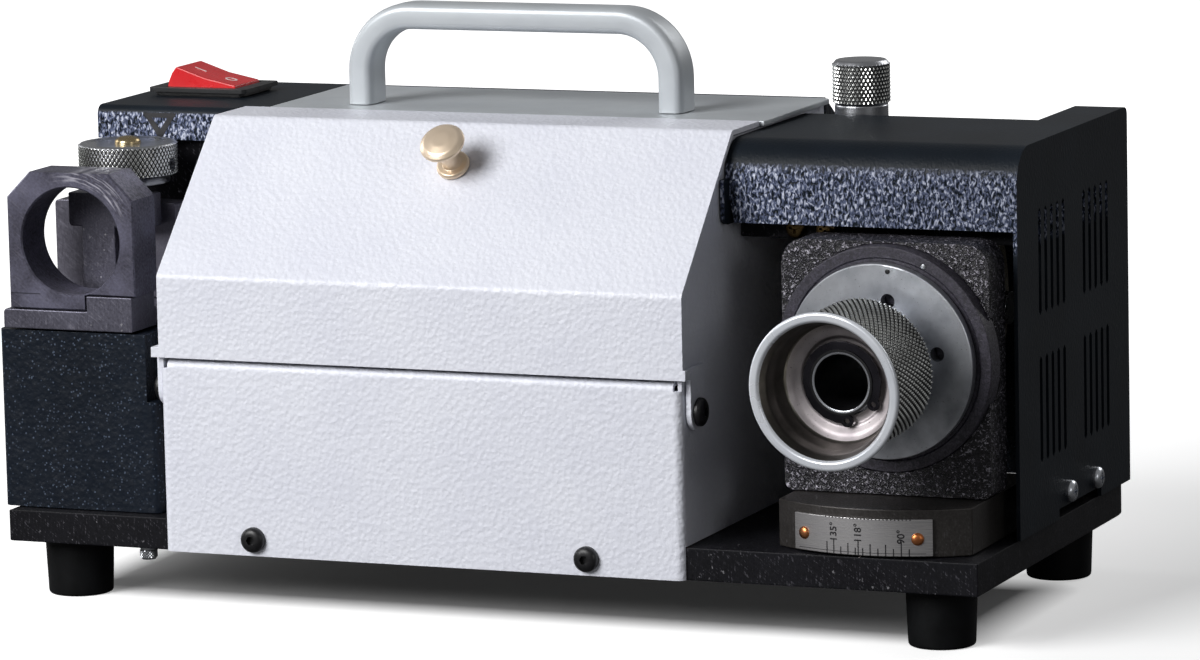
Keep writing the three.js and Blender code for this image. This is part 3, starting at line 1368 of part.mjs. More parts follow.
// Port bush pressed into the head: wide face ring and long sleeve
function portBush() {
  const face = -guideFlange - seat;
  const shoulder = face - portFlange;
  const back = shoulder - portSleeve;
  const bore = guideSleeveRadius + running;
  return place(lathe([
    [bore, back], [portSleeveRadius, back], [portSleeveRadius, shoulder], [portFlangeRadius, shoulder],
    [portFlangeRadius, face], [bore, face], [bore, back],
  ], largeSides), chuckFrame);
}
add('port_bush', portBush(), blackSteel());

// Guide flange: face disc with its two holes, sleeve in the bush and hub behind the nut
function guideFlangePiece() {
  const bore = tubeRadius + running;
  const body = lathe([
    [bore, -guideLength], [guideSleeveRadius, -guideLength], [guideSleeveRadius, -guideFlange],
    [guideRadius, -guideFlange], [guideRadius, 0], [guideHubRadius, 0],
    [guideHubRadius, guideHub], [bore, guideHub], [bore, -guideLength],
  ], largeSides);
  const holes = guideHoleDegrees.map((degrees) => {
    const angle = THREE.MathUtils.degToRad(degrees);
    return moved(rod(guideHoleRadius, -guideFlange - overrun, overrun, tinySides),
      guideHoleCircle * Math.cos(angle), guideHoleCircle * Math.sin(angle), 0);
  });
  return place(cut(body, holes), chuckFrame);
}
add('guide_flange', guideFlangePiece(), zinc());

// Chuck tube: stepped nose with a circlip groove in front, cone for the collet at the back
function chuckTube() {
  const grooveBack = nutFloor + seat;
  const grooveFront = grooveBack + tubeGroove;
  return place(lathe([
    [tubeMouth, -tubeTail], [tubeRadius, -tubeTail], [tubeRadius, tubeShoulder], [tubeNoseRadius, tubeShoulder],
    [tubeNoseRadius, grooveBack], [tubeGrooveRadius, grooveBack], [tubeGrooveRadius, grooveFront],
    [tubeNoseRadius, grooveFront], [tubeNoseRadius, tubeNose + seat], [tubeBore, tubeNose + seat],
    [tubeBore, -tubeTail + tubeConeLength], [tubeMouth, -tubeTail],
  ], roundSides), chuckFrame);
}
add('chuck_tube', chuckTube(), greySteel());

// Bell-mouthed nut: straight grip, flared rim and a bowl down to the circlip's floor
function chuckNut() {
  const step = tubeShoulder + running;
  const edge = nutLip / 3;
  const bowl = [
    [nutRimRadius - nutLip, nutFront - edge], [nutRadius - nutLip, nutFront - nutRim],
    [nutRadius - nutLip * 1.3, nutFront - nutRim - nutBowlDepth * 0.45],
    [nutFloorRadius + nutLip, nutFloor + nutLip * 0.6], [nutFloorRadius, nutFloor],
  ];
  return place(lathe([
    [tubeRadius + running, nutBack], [nutRadius - nutLip, nutBack], [nutRadius, nutBack + nutLip / 2],
    [nutRadius, nutFront - nutRim], [nutRimRadius, nutFront - nutRim * 0.45], [nutRimRadius, nutFront - edge],
    [nutRimRadius - edge, nutFront], [nutRimRadius - nutLip + edge, nutFront], ...bowl,
    [tubeNoseRadius + running, nutFloor], [tubeNoseRadius + running, step], [tubeRadius + running, step],
    [tubeRadius + running, nutBack],
  ], largeSides), chuckFrame);
}
add('chuck_nut', chuckNut(), zinc());

// Circlip with two drilled lugs, open at the lower right
function circlip() {
  const back = nutFloor + 2 * seat;
  const front = back + circlipThick;
  const inner = tubeGrooveRadius + seat;
  const half = THREE.MathUtils.degToRad(circlipOpenDegrees / 2);
  const steps = smallSides;
  const arc = (radius) => Array.from({ length: steps + 1 }, (_, i) => {
    const angle = half + ((2 * Math.PI - 2 * half) * i) / steps;
    return new THREE.Vector2(radius * Math.cos(angle), radius * Math.sin(angle));
  });
  const ring = extrudeZ(new THREE.Shape([...arc(circlipRadius), ...arc(inner).reverse()]), back, front);
  const lugReach = (circlipRadius + inner) / 2 + circlipLugRadius / 3;
  const lugs = [-1, 1].map((side) => {
    const angle = side * (half + circlipLugRadius / lugReach / 2);
    return [lugReach * Math.cos(angle), lugReach * Math.sin(angle)];
  });
  const lugSolids = lugs.map(([x, y]) => rodZ(circlipLugRadius, back, front, x, y, tinySides));
  const lugHoles = lugs.map(([x, y]) => rodZ(circlipLugRadius * 0.45, back - overrun, front + overrun, x, y, tinySides));
  const nose = rod(inner, back - overrun, front + overrun, roundSides);
  const flat = cut(join([ring, ...lugSolids]), [...lugHoles, nose]);
  const turned = place(flat, new THREE.Matrix4().makeRotationZ(-THREE.MathUtils.degToRad(circlipTurnDegrees)));
  return place(turned, chuckFrame);
}
add('circlip', circlip(), blackSteel());

// Collet body: tapered head, split by slots from its wide end
function colletSolid(length) {
  const cone = tubeConeLength - seat;
  const body = lathe([
    [colletBore, 0], [colletHeadRadius, 0], [colletRadius, cone], [colletRadius, length],
    [colletBore, length], [colletBore, 0],
  ], smallSides);
  const slotBlade = block(colletBore / 2, colletHeadRadius + overrun, -colletSlot / 2, colletSlot / 2,
    -overrun, length * 0.7);
  const slots = Array.from({ length: colletSlots }, (_, i) => slotBlade.rotate([0, 0, (360 * i) / colletSlots]));
  return cut(body, slots);
}
add('collet', place(moved(colletSolid(colletLength), 0, 0, -tubeTail - seat), chuckFrame), zinc());

// Rack under the lid: one folded sheet with a row of holes, standing on the deck
function colletRack() {
  const left = centreLeft + coverWall + rackMargin;
  const right = centreRight - coverWall - rackMargin;
  const sheet = extrudeX(foldedSheet([
    [rackBack, deck + seat], [rackBack, rackHeight, foldRadius], [rackFront, rackHeight, foldRadius],
    [rackFront, deck + seat],
  ], coverWall), left, right);
  const holes = rackPlaces.map(([x, y]) => rodZ(rackHoleRadius, rackHeight - overrun, rackHeight + overrun, x, y, smallSides));
  return cut(sheet, holes);
}
const rackPlaces = Array.from({ length: rackCount }, (_, i) => [
  centreX + (i - (rackCount - 1) / 2) * rackPitch, (rackFront + rackBack) / 2,
]);
add('collet_rack', colletRack(), greyCoat());

// Spare collets hang in the rack by their tapered heads, wide end up
const hangShare = (colletHeadRadius - rackHoleRadius) / (colletHeadRadius - colletRadius);
const hangHeight = hangShare * (tubeConeLength - seat) + seat;
rackPlaces.slice(0, spareCollets).forEach(([x, y], i) => {
  const upside = place(colletSolid(colletLength), new THREE.Matrix4().makeRotationX(Math.PI));
  add(`spare_collet_${i + 1}`, moved(upside, x, y, rackHeight + hangHeight), zinc());
});

// Centre the machine on its footprint, with the bench top at zero height.
const bounds = new THREE.Box3().setFromObject(machine);
const middle = bounds.getCenter(new THREE.Vector3());
machine.position.set(-middle.x, -middle.y, -bounds.min.z);

const grinder = new THREE.Group();
grinder.add(machine);
grinder.updateMatrixWorld(true);

export default grinder;
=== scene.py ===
"""Dressed model of the bench drill bit grinder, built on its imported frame.

Metres, +Z up, operator at -Y. CAD nodes that keep their shape get softened edges and a
procedural finish; knobs, chuck, feet and fasteners are rebuilt finer round the same places.
"""
import json
import math

import bmesh
import bpy
from mathutils import Matrix, Vector

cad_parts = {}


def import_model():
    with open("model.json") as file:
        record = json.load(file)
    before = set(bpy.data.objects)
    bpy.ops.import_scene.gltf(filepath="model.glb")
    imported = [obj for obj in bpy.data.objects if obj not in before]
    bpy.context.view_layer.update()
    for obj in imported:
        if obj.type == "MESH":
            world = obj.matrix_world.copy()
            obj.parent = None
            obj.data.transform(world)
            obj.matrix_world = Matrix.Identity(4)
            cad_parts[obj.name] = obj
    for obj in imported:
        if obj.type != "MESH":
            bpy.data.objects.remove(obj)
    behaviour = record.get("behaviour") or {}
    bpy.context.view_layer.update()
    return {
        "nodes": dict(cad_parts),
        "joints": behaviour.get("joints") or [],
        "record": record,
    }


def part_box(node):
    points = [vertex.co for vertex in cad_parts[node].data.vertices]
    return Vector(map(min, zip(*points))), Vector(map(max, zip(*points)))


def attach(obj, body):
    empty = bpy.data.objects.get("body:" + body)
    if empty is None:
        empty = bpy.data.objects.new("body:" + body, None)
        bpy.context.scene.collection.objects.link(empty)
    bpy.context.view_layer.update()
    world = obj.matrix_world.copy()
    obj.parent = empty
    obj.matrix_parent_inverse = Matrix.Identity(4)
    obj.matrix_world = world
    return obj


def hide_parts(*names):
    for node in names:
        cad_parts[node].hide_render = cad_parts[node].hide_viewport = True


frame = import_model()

nodes = frame["nodes"]
joints = {joint["name"]: joint for joint in frame["joints"]}
slots = {part["node"]: part["material_slot"] for part in frame["record"]["subparts"]}
mm = 0.001
full = 2 * math.pi
quarter = full / 4

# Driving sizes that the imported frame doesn't give
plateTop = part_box("base_plate")[1].z
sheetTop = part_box("top_plate")[1].z
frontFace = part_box("centre_cover")[0].y
seat = 0.3 * mm
lipBottom = 114 * mm

# Floor shadow: half sizes of its dark middle, the width of its soft edge and the floor's own light
footprint = Vector((136, 34, 100)) * mm
shadowFade = 18 * mm
shadowShare = 0.6

# How bright the white backdrop is to metal, and the weak light that it gives to the rest
glossStrength = 0.2
aroundStrength = 0.07

# Camera, from the photograph's vanishing lines and the places of known corners
cameraYaw = math.radians(22.71)
cameraPitch = math.radians(8.99)
cameraRoll = math.radians(-1.28)
cameraDistance = 1917 * mm
cameraTarget = Vector((16.6, -2.566, 80.1)) * mm
focalPixels = 6393
photoWidth = 1200
sensorWidth = 36

# The lean of a machined face's crossing strokes, in radians
strokeLean = 0.9


def colour(code):
    """A linear colour with alpha from six hexadecimal digits of sRGB."""
    shares = [int(code[i:i + 2], 16) / 255 for i in (0, 2, 4)]
    linear = [c / 12.92 if c <= 0.04045 else ((c + 0.055) / 1.055) ** 2.4 for c in shares]
    return (*linear, 1)


def aim(origin, axis, side=(1, 0, 0)):
    """A matrix that stands local Z along axis at origin, with local X near side."""
    z = Vector(axis).normalized()
    y = z.cross(Vector(side)).normalized()
    turn = Matrix((y.cross(z), y, z)).transposed().to_4x4()
    return Matrix.Translation(origin) @ turn


# --- Materials

def feed(tree, kind, output, inputs, **settings):
    """Adds a node, its inputs each a value or another node's output, and gives one of its outputs."""
    node = tree.nodes.new(kind)
    for key, value in settings.items():
        setattr(node, key, value)
    for socket, value in inputs.items():
        if isinstance(value, bpy.types.NodeSocket):
            tree.links.new(value, node.inputs[socket])
        else:
            node.inputs[socket].default_value = value
    return node.outputs[output] if node.outputs else None


class Look:
    """A procedural material: a Principled shader and its nodes. Sizes in its patterns are in mm."""

    def __init__(self, name, roughness, metallic=0.0, **constants):
        self.material = bpy.data.materials.new(name)
        self.material.use_nodes = True
        self.tree = self.material.node_tree
        self.shader = self.tree.nodes["Principled BSDF"]
        for socket, value in {"Roughness": roughness, "Metallic": metallic, **constants}.items():
            self.shader.inputs[socket.replace("_", " ")].default_value = value
        self.place = self.feed("ShaderNodeTexCoord", "Object", {})

    def feed(self, *node, **settings):
        return feed(self.tree, *node, **settings)

    def set(self, socket, value):
        self.tree.links.new(value, self.shader.inputs[socket])

    def calc(self, operation, *values):
        return self.feed("ShaderNodeMath", 0, dict(enumerate(values)), operation=operation)

    def vector(self, operation, *values, output=0):
        return self.feed("ShaderNodeVectorMath", output, dict(enumerate(values)), operation=operation)

    def sum(self, first, second, share=1.0):
        return self.calc("MULTIPLY_ADD", second, share, first)

    def product(self, first, second):
        return self.calc("MULTIPLY", first, second)

    def span(self, value, low, high, to_low=0.0, to_high=1.0):
        return self.feed("ShaderNodeMapRange", 0, {
            "Value": value, "From Min": low, "From Max": high, "To Min": to_low, "To Max": to_high})

    def blend(self, share, first, second):
        """A mix of two colours, each a node's output, numbers or hexadecimal digits."""
        first, second = (colour(tint) if isinstance(tint, str) else tint for tint in (first, second))
        return self.feed("ShaderNodeMixRGB", 0, {"Fac": share, "Color1": first, "Color2": second})

    def paint(self, share, first, second):
        self.set("Base Color", self.blend(share, first, second))

    def bump(self, height, depth):
        self.set("Normal", self.feed("ShaderNodeBump", "Normal", {
            "Height": height, "Distance": depth, "Strength": 1.0}))

    def axis(self, name, vector=None):
        return self.feed("ShaderNodeSeparateXYZ", name, {0: self.place if vector is None else vector})

    def noise(self, size, detail=2.0, stretch=None, distortion=0.0, place=None):
        place = self.place if place is None else place
        if stretch:
            place = self.vector("MULTIPLY", place, stretch)
        return self.feed("ShaderNodeTexNoise", "Fac", {
            "Vector": place, "Scale": 1 / (size * mm), "Detail": detail, "Distortion": distortion})

    def clouds(self, size, detail=2.0, to_low=0.0, to_high=1.0):
        return self.span(self.noise(size, detail), 0.3, 0.7, to_low, to_high)

    def leaning(self, size, share):
        """Strokes that lean over the front, as wide as size and drawn out by 1 / share."""
        turned = self.feed("ShaderNodeVectorRotate", 0, {"Vector": self.place, "Angle": strokeLean},
                           rotation_type="Y_AXIS")
        return self.noise(size, 1.0, (1.0, 1.0, share), place=turned)

    def cells(self, size, smoothness=0.6, warp=None):
        place = self.place
        if warp:
            drift = self.feed("ShaderNodeTexNoise", "Color", {
                "Vector": place, "Scale": 1 / (size * mm), "Detail": 1.0})
            place = self.vector("MULTIPLY_ADD", drift, (warp * mm,) * 3, place)
        return self.feed("ShaderNodeTexVoronoi", "Distance", {
            "Vector": place, "Scale": 1 / (size * mm), "Smoothness": smoothness}, feature="SMOOTH_F1")

    def local(self, place, axis):
        """One coordinate of the surface point in the frame of place."""
        inward = place.inverted()
        return self.axis(axis, self.feed("ShaderNodeMapping", 0, {
            "Vector": self.place, "Location": inward.translation, "Rotation": inward.to_euler()}))

    def diamonds(self, place, count, start, pitch):
        """Crossing grooves round local Z: 1 on a groove's line, 0 in the middle of a diamond."""
        x, y, z = (self.local(place, axis) for axis in "XYZ")
        around = self.product(self.calc("ARCTAN2", y, x), count / full)
        along = self.calc("MULTIPLY_ADD", z, 1 / pitch, -start / pitch)
        parts = (self.calc("FRACT", self.calc(lean, around, along)) for lean in ("ADD", "SUBTRACT"))
        rises = (self.calc("MULTIPLY_ADD", part, 2.0, -1.0) for part in parts)
        return self.calc("MAXIMUM", *(self.calc("ABSOLUTE", rise) for rise in rises))


def pebble_coat(name, light, dark, size, depth, roughness, glint=None):
    """Powder coat: rounded grains with finer ones between them, slightly uneven in tone.

    With a glint colour, scattered grain tips get painted highlights as pale dots.
    """
    look = Look(name, roughness, Specular_IOR_Level=0.25 if glint else 0.5)
    grains = look.cells(size, warp=0.5 * size)
    look.bump(look.sum(grains, look.noise(0.45 * size, 1.0), 0.35), depth * mm)
    tone = look.sum(look.clouds(30, to_high=0.7), look.span(grains, 0.2, 0.8), 0.3)
    body = look.blend(tone, light, dark)
    if glint:
        # Painted highlights: pale dots on scattered grain tips
        tips = look.span(look.cells(0.8 * size, smoothness=0.0), 0.28, 0.12)
        some = look.span(look.noise(3 * size, 3.0), 0.34, 0.55, 0.0, 0.8)
        body = look.blend(look.product(tips, some), body, glint)
    look.set("Base Color", body)
    look.set("Roughness", look.clouds(4, 2.0, roughness - 0.05, roughness + 0.07))
    return look.material


def hammered_coat(name, light, dark, sheen, highlight, size):
    """Glossy enamel: smooth over folds, crawled into deep pebbles on the lips towards the operator. The lips'
    pebbles carry painted sheen and painted highlights, dimmer towards +X as a painted falloff of light.
    """
    look = Look(name, 0.4, Specular_IOR_Level=0.16)
    facing = look.axis("Y", look.feed("ShaderNodeNewGeometry", "Normal", {}))
    above = look.span(look.axis("Z"), lipBottom - 3 * mm, lipBottom)
    front = look.product(look.span(facing, -0.90, -0.985), above)
    relief = look.noise(size, 1.5, (1.0, 1.0, 0.55), 0.6)
    look.bump(relief, look.span(front, 0.0, 1.0, 0.10 * mm, 0.9 * mm))
    # Painted falloff of light: the lips' painted highlights weaken from 60 mm to 160 mm along X
    painted_light = look.product(front, look.span(look.axis("X"), 60 * mm, 160 * mm, 1.0, 0.6))
    body = look.blend(look.clouds(25), light, dark)
    # Painted sheen on the pebbles' slopes and painted highlights on their tops, on the lips only
    sheened = look.blend(look.product(look.span(relief, 0.40, 0.54), painted_light), body, sheen)
    look.paint(look.product(look.span(relief, 0.54, 0.68), painted_light), sheened, highlight)
    look.set("Roughness", look.span(front, 0.0, 1.0, 0.45, 0.24))
    return look.material


def brushed_plate(name, light, dark):
    """Thin aluminium plate brushed along its length."""
    look = Look(name, 0.4, 0.9)
    strokes = look.noise(0.25, stretch=(0.04, 0.04, 1.0))
    look.paint(look.span(strokes, 0.35, 0.65), light, dark)
    look.set("Roughness", look.span(strokes, 0.3, 0.7, 0.32, 0.5))
    look.bump(strokes, 0.01 * mm)
    return look.material


def satin_paint(name, light, dark, roughness, metallic):
    """Smooth sprayed paint with faint orange peel."""
    look = Look(name, roughness, metallic)
    look.bump(look.noise(0.9), 0.012 * mm)
    look.paint(look.clouds(22, 3.0), light, dark)
    look.set("Roughness", look.clouds(6, 2.0, roughness - 0.05, roughness + 0.05))
    return look.material


def machined_steel(name, light, dark, roughness, metallic, wear, gloss=0.5):
    """Milled and oxidised steel: a mottled oxidised tone, two sets of crossing strokes and a few bright
    nicks.
    """
    look = Look(name, roughness, metallic, Specular_IOR_Level=gloss)
    scratches = look.sum(look.noise(0.5, 1.0, (1.0, 1.0, 0.18)), look.leaning(0.45, 0.12))
    tone = look.sum(look.clouds(0.7, 4.0, 0.0, 0.5), look.clouds(14, 3.0, 0.0, 0.5))
    streaks = look.span(scratches, 1.16, 1.32, 0.0, 0.55 * wear)
    scored = look.blend(streaks, look.blend(tone, light, dark), "9a98a2")
    nicks = look.span(look.noise(2.2, 5.0), 0.70, 0.74)
    look.paint(look.product(nicks, wear), scored, "c8c6cc")
    look.set("Roughness", look.span(scratches, 0.7, 1.3, roughness - 0.1, roughness + 0.12))
    look.bump(scratches, 0.02 * mm)
    return look.material


def turned_steel(name, light, dark, roughness, blemish=0.5):
    """Bright plated steel with fine pits and cloudy tarnish."""
    look = Look(name, roughness, 1.0)
    cloud = look.span(look.noise(9, 4.0), 0.3, 0.75)
    pits = look.span(look.noise(0.6, 3.0), 0.66, 0.74)
    look.paint(look.product(pits, blemish), look.blend(cloud, light, dark), "4a4648")
    look.set("Roughness", look.sum(look.span(cloud, 0.0, 1.0, roughness - 0.06, roughness + 0.1), pits, 0.15))
    look.bump(look.noise(0.35), 0.006 * mm)
    return look.material


def knurled_steel(name, place, count, start, pitch):
    """Plated steel with its crossing grooves painted dark as shade."""
    look = Look(name, 0.3, 1.0)
    # Painted shade: the crossing grooves darkened
    groove_shade = look.span(look.diamonds(place, count, start, pitch), 0.5, 0.82)
    look.paint(groove_shade, look.blend(look.clouds(5, 3.0), "f4f6f4", "d2d4d1"), "2b2a2b")
    look.set("Roughness", look.span(groove_shade, 0.0, 1.0, 0.26, 0.6))
    return look.material


def crinkle_paint(name, light, dark, size, depth, roughness, highlight=None):
    """Black wrinkle enamel on a casting: glossy sharp wrinkles over a rough skin, with painted sheen lighter
    on the crests and painted glints on their tops.
    """
    look = Look(name, roughness)
    wrinkles = look.noise(size, 4.0, distortion=1.2)
    look.bump(look.sum(wrinkles, look.noise(3.5 * size), 0.6), depth * mm)
    # Painted sheen: crests lighter than the hollows; painted glints on the highest crests
    body = look.blend(look.span(wrinkles, 0.4, 0.65), dark, light)
    look.paint(look.span(wrinkles, 0.57, 0.69), body, highlight or light)
    look.set("Roughness", look.span(wrinkles, 0.35, 0.65, roughness + 0.15, roughness - 0.08))
    return look.material


def moulded(name, light, dark, roughness, grain, depth, gloss=0.5):
    """Moulded plastic or rubber with a fine grain and a little dust."""
    look = Look(name, roughness, Specular_IOR_Level=gloss)
    look.bump(look.noise(grain), depth * mm)
    look.paint(look.span(look.noise(7, 4.0), 0.35, 0.7), light, dark)
    look.set("Roughness", look.clouds(3, 2.0, roughness - 0.05, roughness + 0.08))
    return look.material


def grit(name):
    """Bonded abrasive: coarse grains of two tones."""
    look = Look(name, 0.9)
    grains = look.cells(0.5, smoothness=0.2)
    look.bump(grains, 0.15 * mm)
    look.paint(look.span(grains, 0.2, 0.7), "a39c8b", "6a6458")
    return look.material


# A look for each of the frame's slots, then the looks of single nodes and of finer pieces
coats = {
    "white_coat": (pebble_coat, "edeff8", "e5e7f2", 1.5, 0.2, 0.42),
    "grey_coat": (satin_paint, "c9ced2", "bfc4c9", 0.42, 0.25),
    # blue_coat's last colour: painted glints on grain tips
    "blue_coat": (pebble_coat, "161d28", "10161f", 1.6, 0.16, 0.36, "5a6679"),
    "black_steel": (machined_steel, "6a6977", "413f49", 0.42, 0.6, 0.5),
    "grey_steel": (machined_steel, "74727d", "5c5a65", 0.42, 0.8, 0.3),
    "zinc": (turned_steel, "c9cbd0", "a9abaf", 0.30),
    "scale_metal": (turned_steel, "b9b8b8", "a3a1a2", 0.42, 0.3),
    # cast_black's last colour: painted glints on the wrinkle tops
    "cast_black": (crinkle_paint, "37353d", "0b0a0e", 0.85, 0.6, 0.24, "c4c0cc"),
    "rubber": (moulded, "101113", "08090a", 0.55, 0.5, 0.02, 0.15),
    "brass": (satin_paint, "f2dfca", "dfc9ac", 0.36, 0.6),
    "red_plastic": (moulded, "ea282e", "dc1e25", 0.28, 1.2, 0.008),
    "black_plastic": (moulded, "1b1c1f", "121315", 0.42, 0.4, 0.02),
    "abrasive": (grit,),
}
looks = {name: coat(name, *values) for name, (coat, *values) in coats.items()}
# Lip colours after the body tones: painted sheen, then painted highlight
hammered = hammered_coat("hammered_coat", "192028", "12181f", "666f8d", "dadff0", 0.8)
# Dark oxidised steel; on the roof bracket it also darkens the part as painted shade under the lip
oxide_and_shade = machined_steel("oxide_and_shade", "1b1b20", "0c0c0f", 0.5, 0.1, 0.3, 0.15)
own_looks = {
    "right_cover": hammered,
    "upper_left_cover": hammered,
    "base_plate": oxide_and_shade,
    "switch_wall": oxide_and_shade,
    # The roof bracket is darkened as painted shade under the roof's lip
    "roof_bracket": oxide_and_shade,
    "circlip": turned_steel("spring_steel", "4a484f", "232226", 0.24, 0.2),
    "scale_plate": brushed_plate("brushed_plate", "cac8c8", "a4a2a4"),
    "angle_base": machined_steel("drum", "4a4745", "302d2c", 0.4, 0.5, 0.15),
}
copper = turned_steel("copper", "e6a070", "c9743f", 0.3, 0.15)
ink = moulded("ink", "17151a", "0e0d10", 0.5, 0.3, 0.005)
pale_ink = moulded("pale_ink", "fff0ee", "f4dcd9", 0.45, 0.3, 0.005)
old_brass = turned_steel("old_brass", "d9c8a2", "9c8355", 0.25, 0.3)
dull_brass = turned_steel("dull_brass", "7d6742", "2b2117", 0.22, 0.4)
bright_edge = turned_steel("bright_edge", "e6e9f0", "cfd3da", 0.22, 0.1)
# Black for screw heads and pins, and as painted shade inside the chuck's tube
black_and_shade = moulded("black_and_shade", "18171a", "0d0d0f", 0.35, 0.3, 0.01)
port_look = crinkle_paint("port_look", "4b4853", "2a2830", 0.9, 0.12, 0.42)
flange_look = turned_steel("flange_look", "d8dbe1", "8f9299", 0.42, 0.6)
nut_look = turned_steel("nut_look", "cfd2d6", "b1b4b8", 0.3, 0.4)
wall_look = turned_steel("wall_look", "8d8a84", "625f5a", 0.34, 0.5)
bowl_look = turned_steel("bowl_look", "d2cbcc", "a8a1a5", 0.52, 0.7)
# Near-white paint on the chuck nut's polished rim, a painted reflection
rim_look = satin_paint("rim_look", "f2f5fb", "dde2ea", 0.3, 0.4)


# --- Softened CAD nodes

def smooth_by_angle():
    """A node group that shades smooth and keeps edges over its angle sharp."""
    group = bpy.data.node_groups.new("smooth_by_angle", "GeometryNodeTree")
    for end in ("INPUT", "OUTPUT"):
        group.interface.new_socket("Geometry", in_out=end, socket_type="NodeSocketGeometry")
    faces = feed(group, "GeometryNodeSetShadeSmooth", 0, {0: feed(group, "NodeGroupInput", 0, {})})
    angle = feed(group, "GeometryNodeInputMeshEdgeAngle", "Unsigned Angle", {})
    over = feed(group, "ShaderNodeMath", 0, {0: angle, 1: math.radians(34)}, operation="GREATER_THAN")
    edges = feed(group, "GeometryNodeSetShadeSmooth", 0, {
        "Geometry": faces, "Selection": over, "Shade Smooth": False}, domain="EDGE")
    feed(group, "NodeGroupOutput", None, {0: edges})
    return group


shading = smooth_by_angle()
edgeWidths = {
    "white_coat": 0.45, "grey_coat": 0.4, "blue_coat": 0.45, "black_steel": 0.45, "grey_steel": 0.35,
    "cast_black": 1.1, "red_plastic": 0.5, "black_plastic": 0.4,
}


def modify(piece, name, kind, **settings):
    modifier = piece.modifiers.new(name, kind)
    for key, value in settings.items():
        setattr(modifier, key, value)


def weigh(piece):
    """Keeps flat faces flat in the shading beside rounded edges."""
    modify(piece, "normals", "WEIGHTED_NORMAL", keep_sharp=True)


def soften(node, width):
    """Merges the coplanar facets, rounds the sharp edges and shades the rest smooth."""
    modify(node, "weld", "WELD", merge_threshold=0.002 * mm)
    modify(node, "planar", "DECIMATE", decimate_type="DISSOLVE", angle_limit=math.radians(0.6))
    modify(node, "edges", "BEVEL", width=width, segments=2, limit_method="ANGLE",
           angle_limit=math.radians(35))
    modify(node, "shading", "NODES", node_group=shading)
    weigh(node)


for name, node in nodes.items():
    node.data.materials.clear()
    node.data.materials.append(own_looks.get(name, looks[slots[name]]))
    soften(node, edgeWidths.get(slots[name], 0.25) * mm)


# --- Mesh building

def dress(piece, place, materials, choose):
    """Gives each face the material that choose(radius, height) numbers round place; 0 is the piece's own."""
    for material in materials:
        piece.data.materials.append(material)
    inward = place.inverted()
    for face in piece.data.polygons:
        middle = inward @ face.center
        face.material_index = choose(middle.xy.length, middle.z)


def mesh_from(name, bm):
    mesh = bpy.data.meshes.new(name)
    bm.to_mesh(mesh)
    bm.free()
    return mesh


def put(name, data):
    """A new object in the scene."""
    holder = bpy.data.objects.new(name, data)
    bpy.context.scene.collection.objects.link(holder)
    return holder


def make(name, bm, body, material, slot, replaced=(), sharp=32):
    """Ends a mesh as a named piece that rides a body and stands for the CAD nodes it replaces."""
    bmesh.ops.recalc_face_normals(bm, faces=bm.faces)
    mesh = mesh_from(name, bm)
    mesh.shade_smooth()
    mesh.set_sharp_from_angle(angle=math.radians(sharp))
    mesh.materials.append(material)
    piece = put(name, mesh)
    weigh(piece)
    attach(piece, body)
    if replaced:
        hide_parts(*replaced)
    return piece


def sized(*points, out=0, up=0):
    """The (radius, height) points of an outline given in millimetres from a radius and a height."""
    return [(out + radius * mm, up + height * mm) for radius, height in points]


def rounded(outline, fillet, steps=3, closed=False):
    """Rounds the corners of an outline of (radius, height) points, as far as their sides allow."""
    count = len(outline)
    points = []
    for i, corner in enumerate(outline):
        if not closed and i in (0, count - 1):
            points.append(corner)
            continue
        at = Vector(corner)
        sides = [Vector(outline[i - 1]) - at, Vector(outline[(i + 1) % count]) - at]
        reach = min(fillet, *(0.45 * side.length for side in sides))
        start, end = (at + side.normalized() * reach for side in sides)
        for t in (step / steps for step in range(steps + 1)):
            points.append(tuple(start * (1 - t) ** 2 + at * 2 * t * (1 - t) + end * t ** 2))
    return points


def bridge(bm, rings, steps):
    """Faces from each ring of vertices to the next, where a ring of one vertex is a pole."""
    for below, above in zip(rings, rings[1:]):
        for step in range(steps):
            after = (step + 1) % steps
            corners = [below[step % len(below)], below[after % len(below)],
                       above[after % len(above)], above[step % len(above)]]
            bm.faces.new(list(dict.fromkeys(corners)))


def revolve(bm, outline, place, steps=72, relief=None, closed=False):
    """Turns an outline of (radius, height) points about local Z, in so many steps or at given angles.

    A radius may be a function of the angle, and relief(row, step) is taken off it.
    """
    angles = steps if isinstance(steps, list) else [full * step / steps for step in range(steps)]
    rings = []
    for row, (radius, height) in enumerate(outline):
        if not callable(radius) and abs(radius) < 1e-9:
            rings.append([bm.verts.new(place @ Vector((0, 0, height)))])
            continue
        ring = []
        for step, angle in enumerate(angles):
            reach = radius(angle) if callable(radius) else radius
            if relief:
                reach -= relief(row, step)
            point = Vector((reach * math.cos(angle), reach * math.sin(angle), height))
            ring.append(bm.verts.new(place @ point))
        rings.append(ring)
    bridge(bm, rings + rings[:1] if closed else rings, len(angles))


def turned(name, body, material, slot, outline, place, replaced=(), sharp=32, **turning):
    """A turned piece of its own, from what revolve() and make() ask for."""
    bm = bmesh.new()
    revolve(bm, outline, place, **turning)
    return make(name, bm, body, material, slot, replaced, sharp)


knurlFlat = 0.12           # share of a diamond's height that its flat top takes off


def knurl(first, rows, depth):
    """Relief of crossing diamond grooves over 4 * rows steps of an outline, four steps round to a diamond."""
    def relief(row, step):
        if not first <= row <= first + 4 * rows:
            return 0.0
        along, around = (row - first) / 4, step / 4
        deepest = max(abs(turns % 1 - 0.5) * 2 for turns in (around + along, around - along))
        return depth * max(0.0, deepest - knurlFlat) / (1 - knurlFlat)
    return relief


def band(radius, bottom, top, rows):
    """The outline points of a knurled band."""
    return [(radius, bottom + (top - bottom) * i / (4 * rows)) for i in range(4 * rows + 1)]


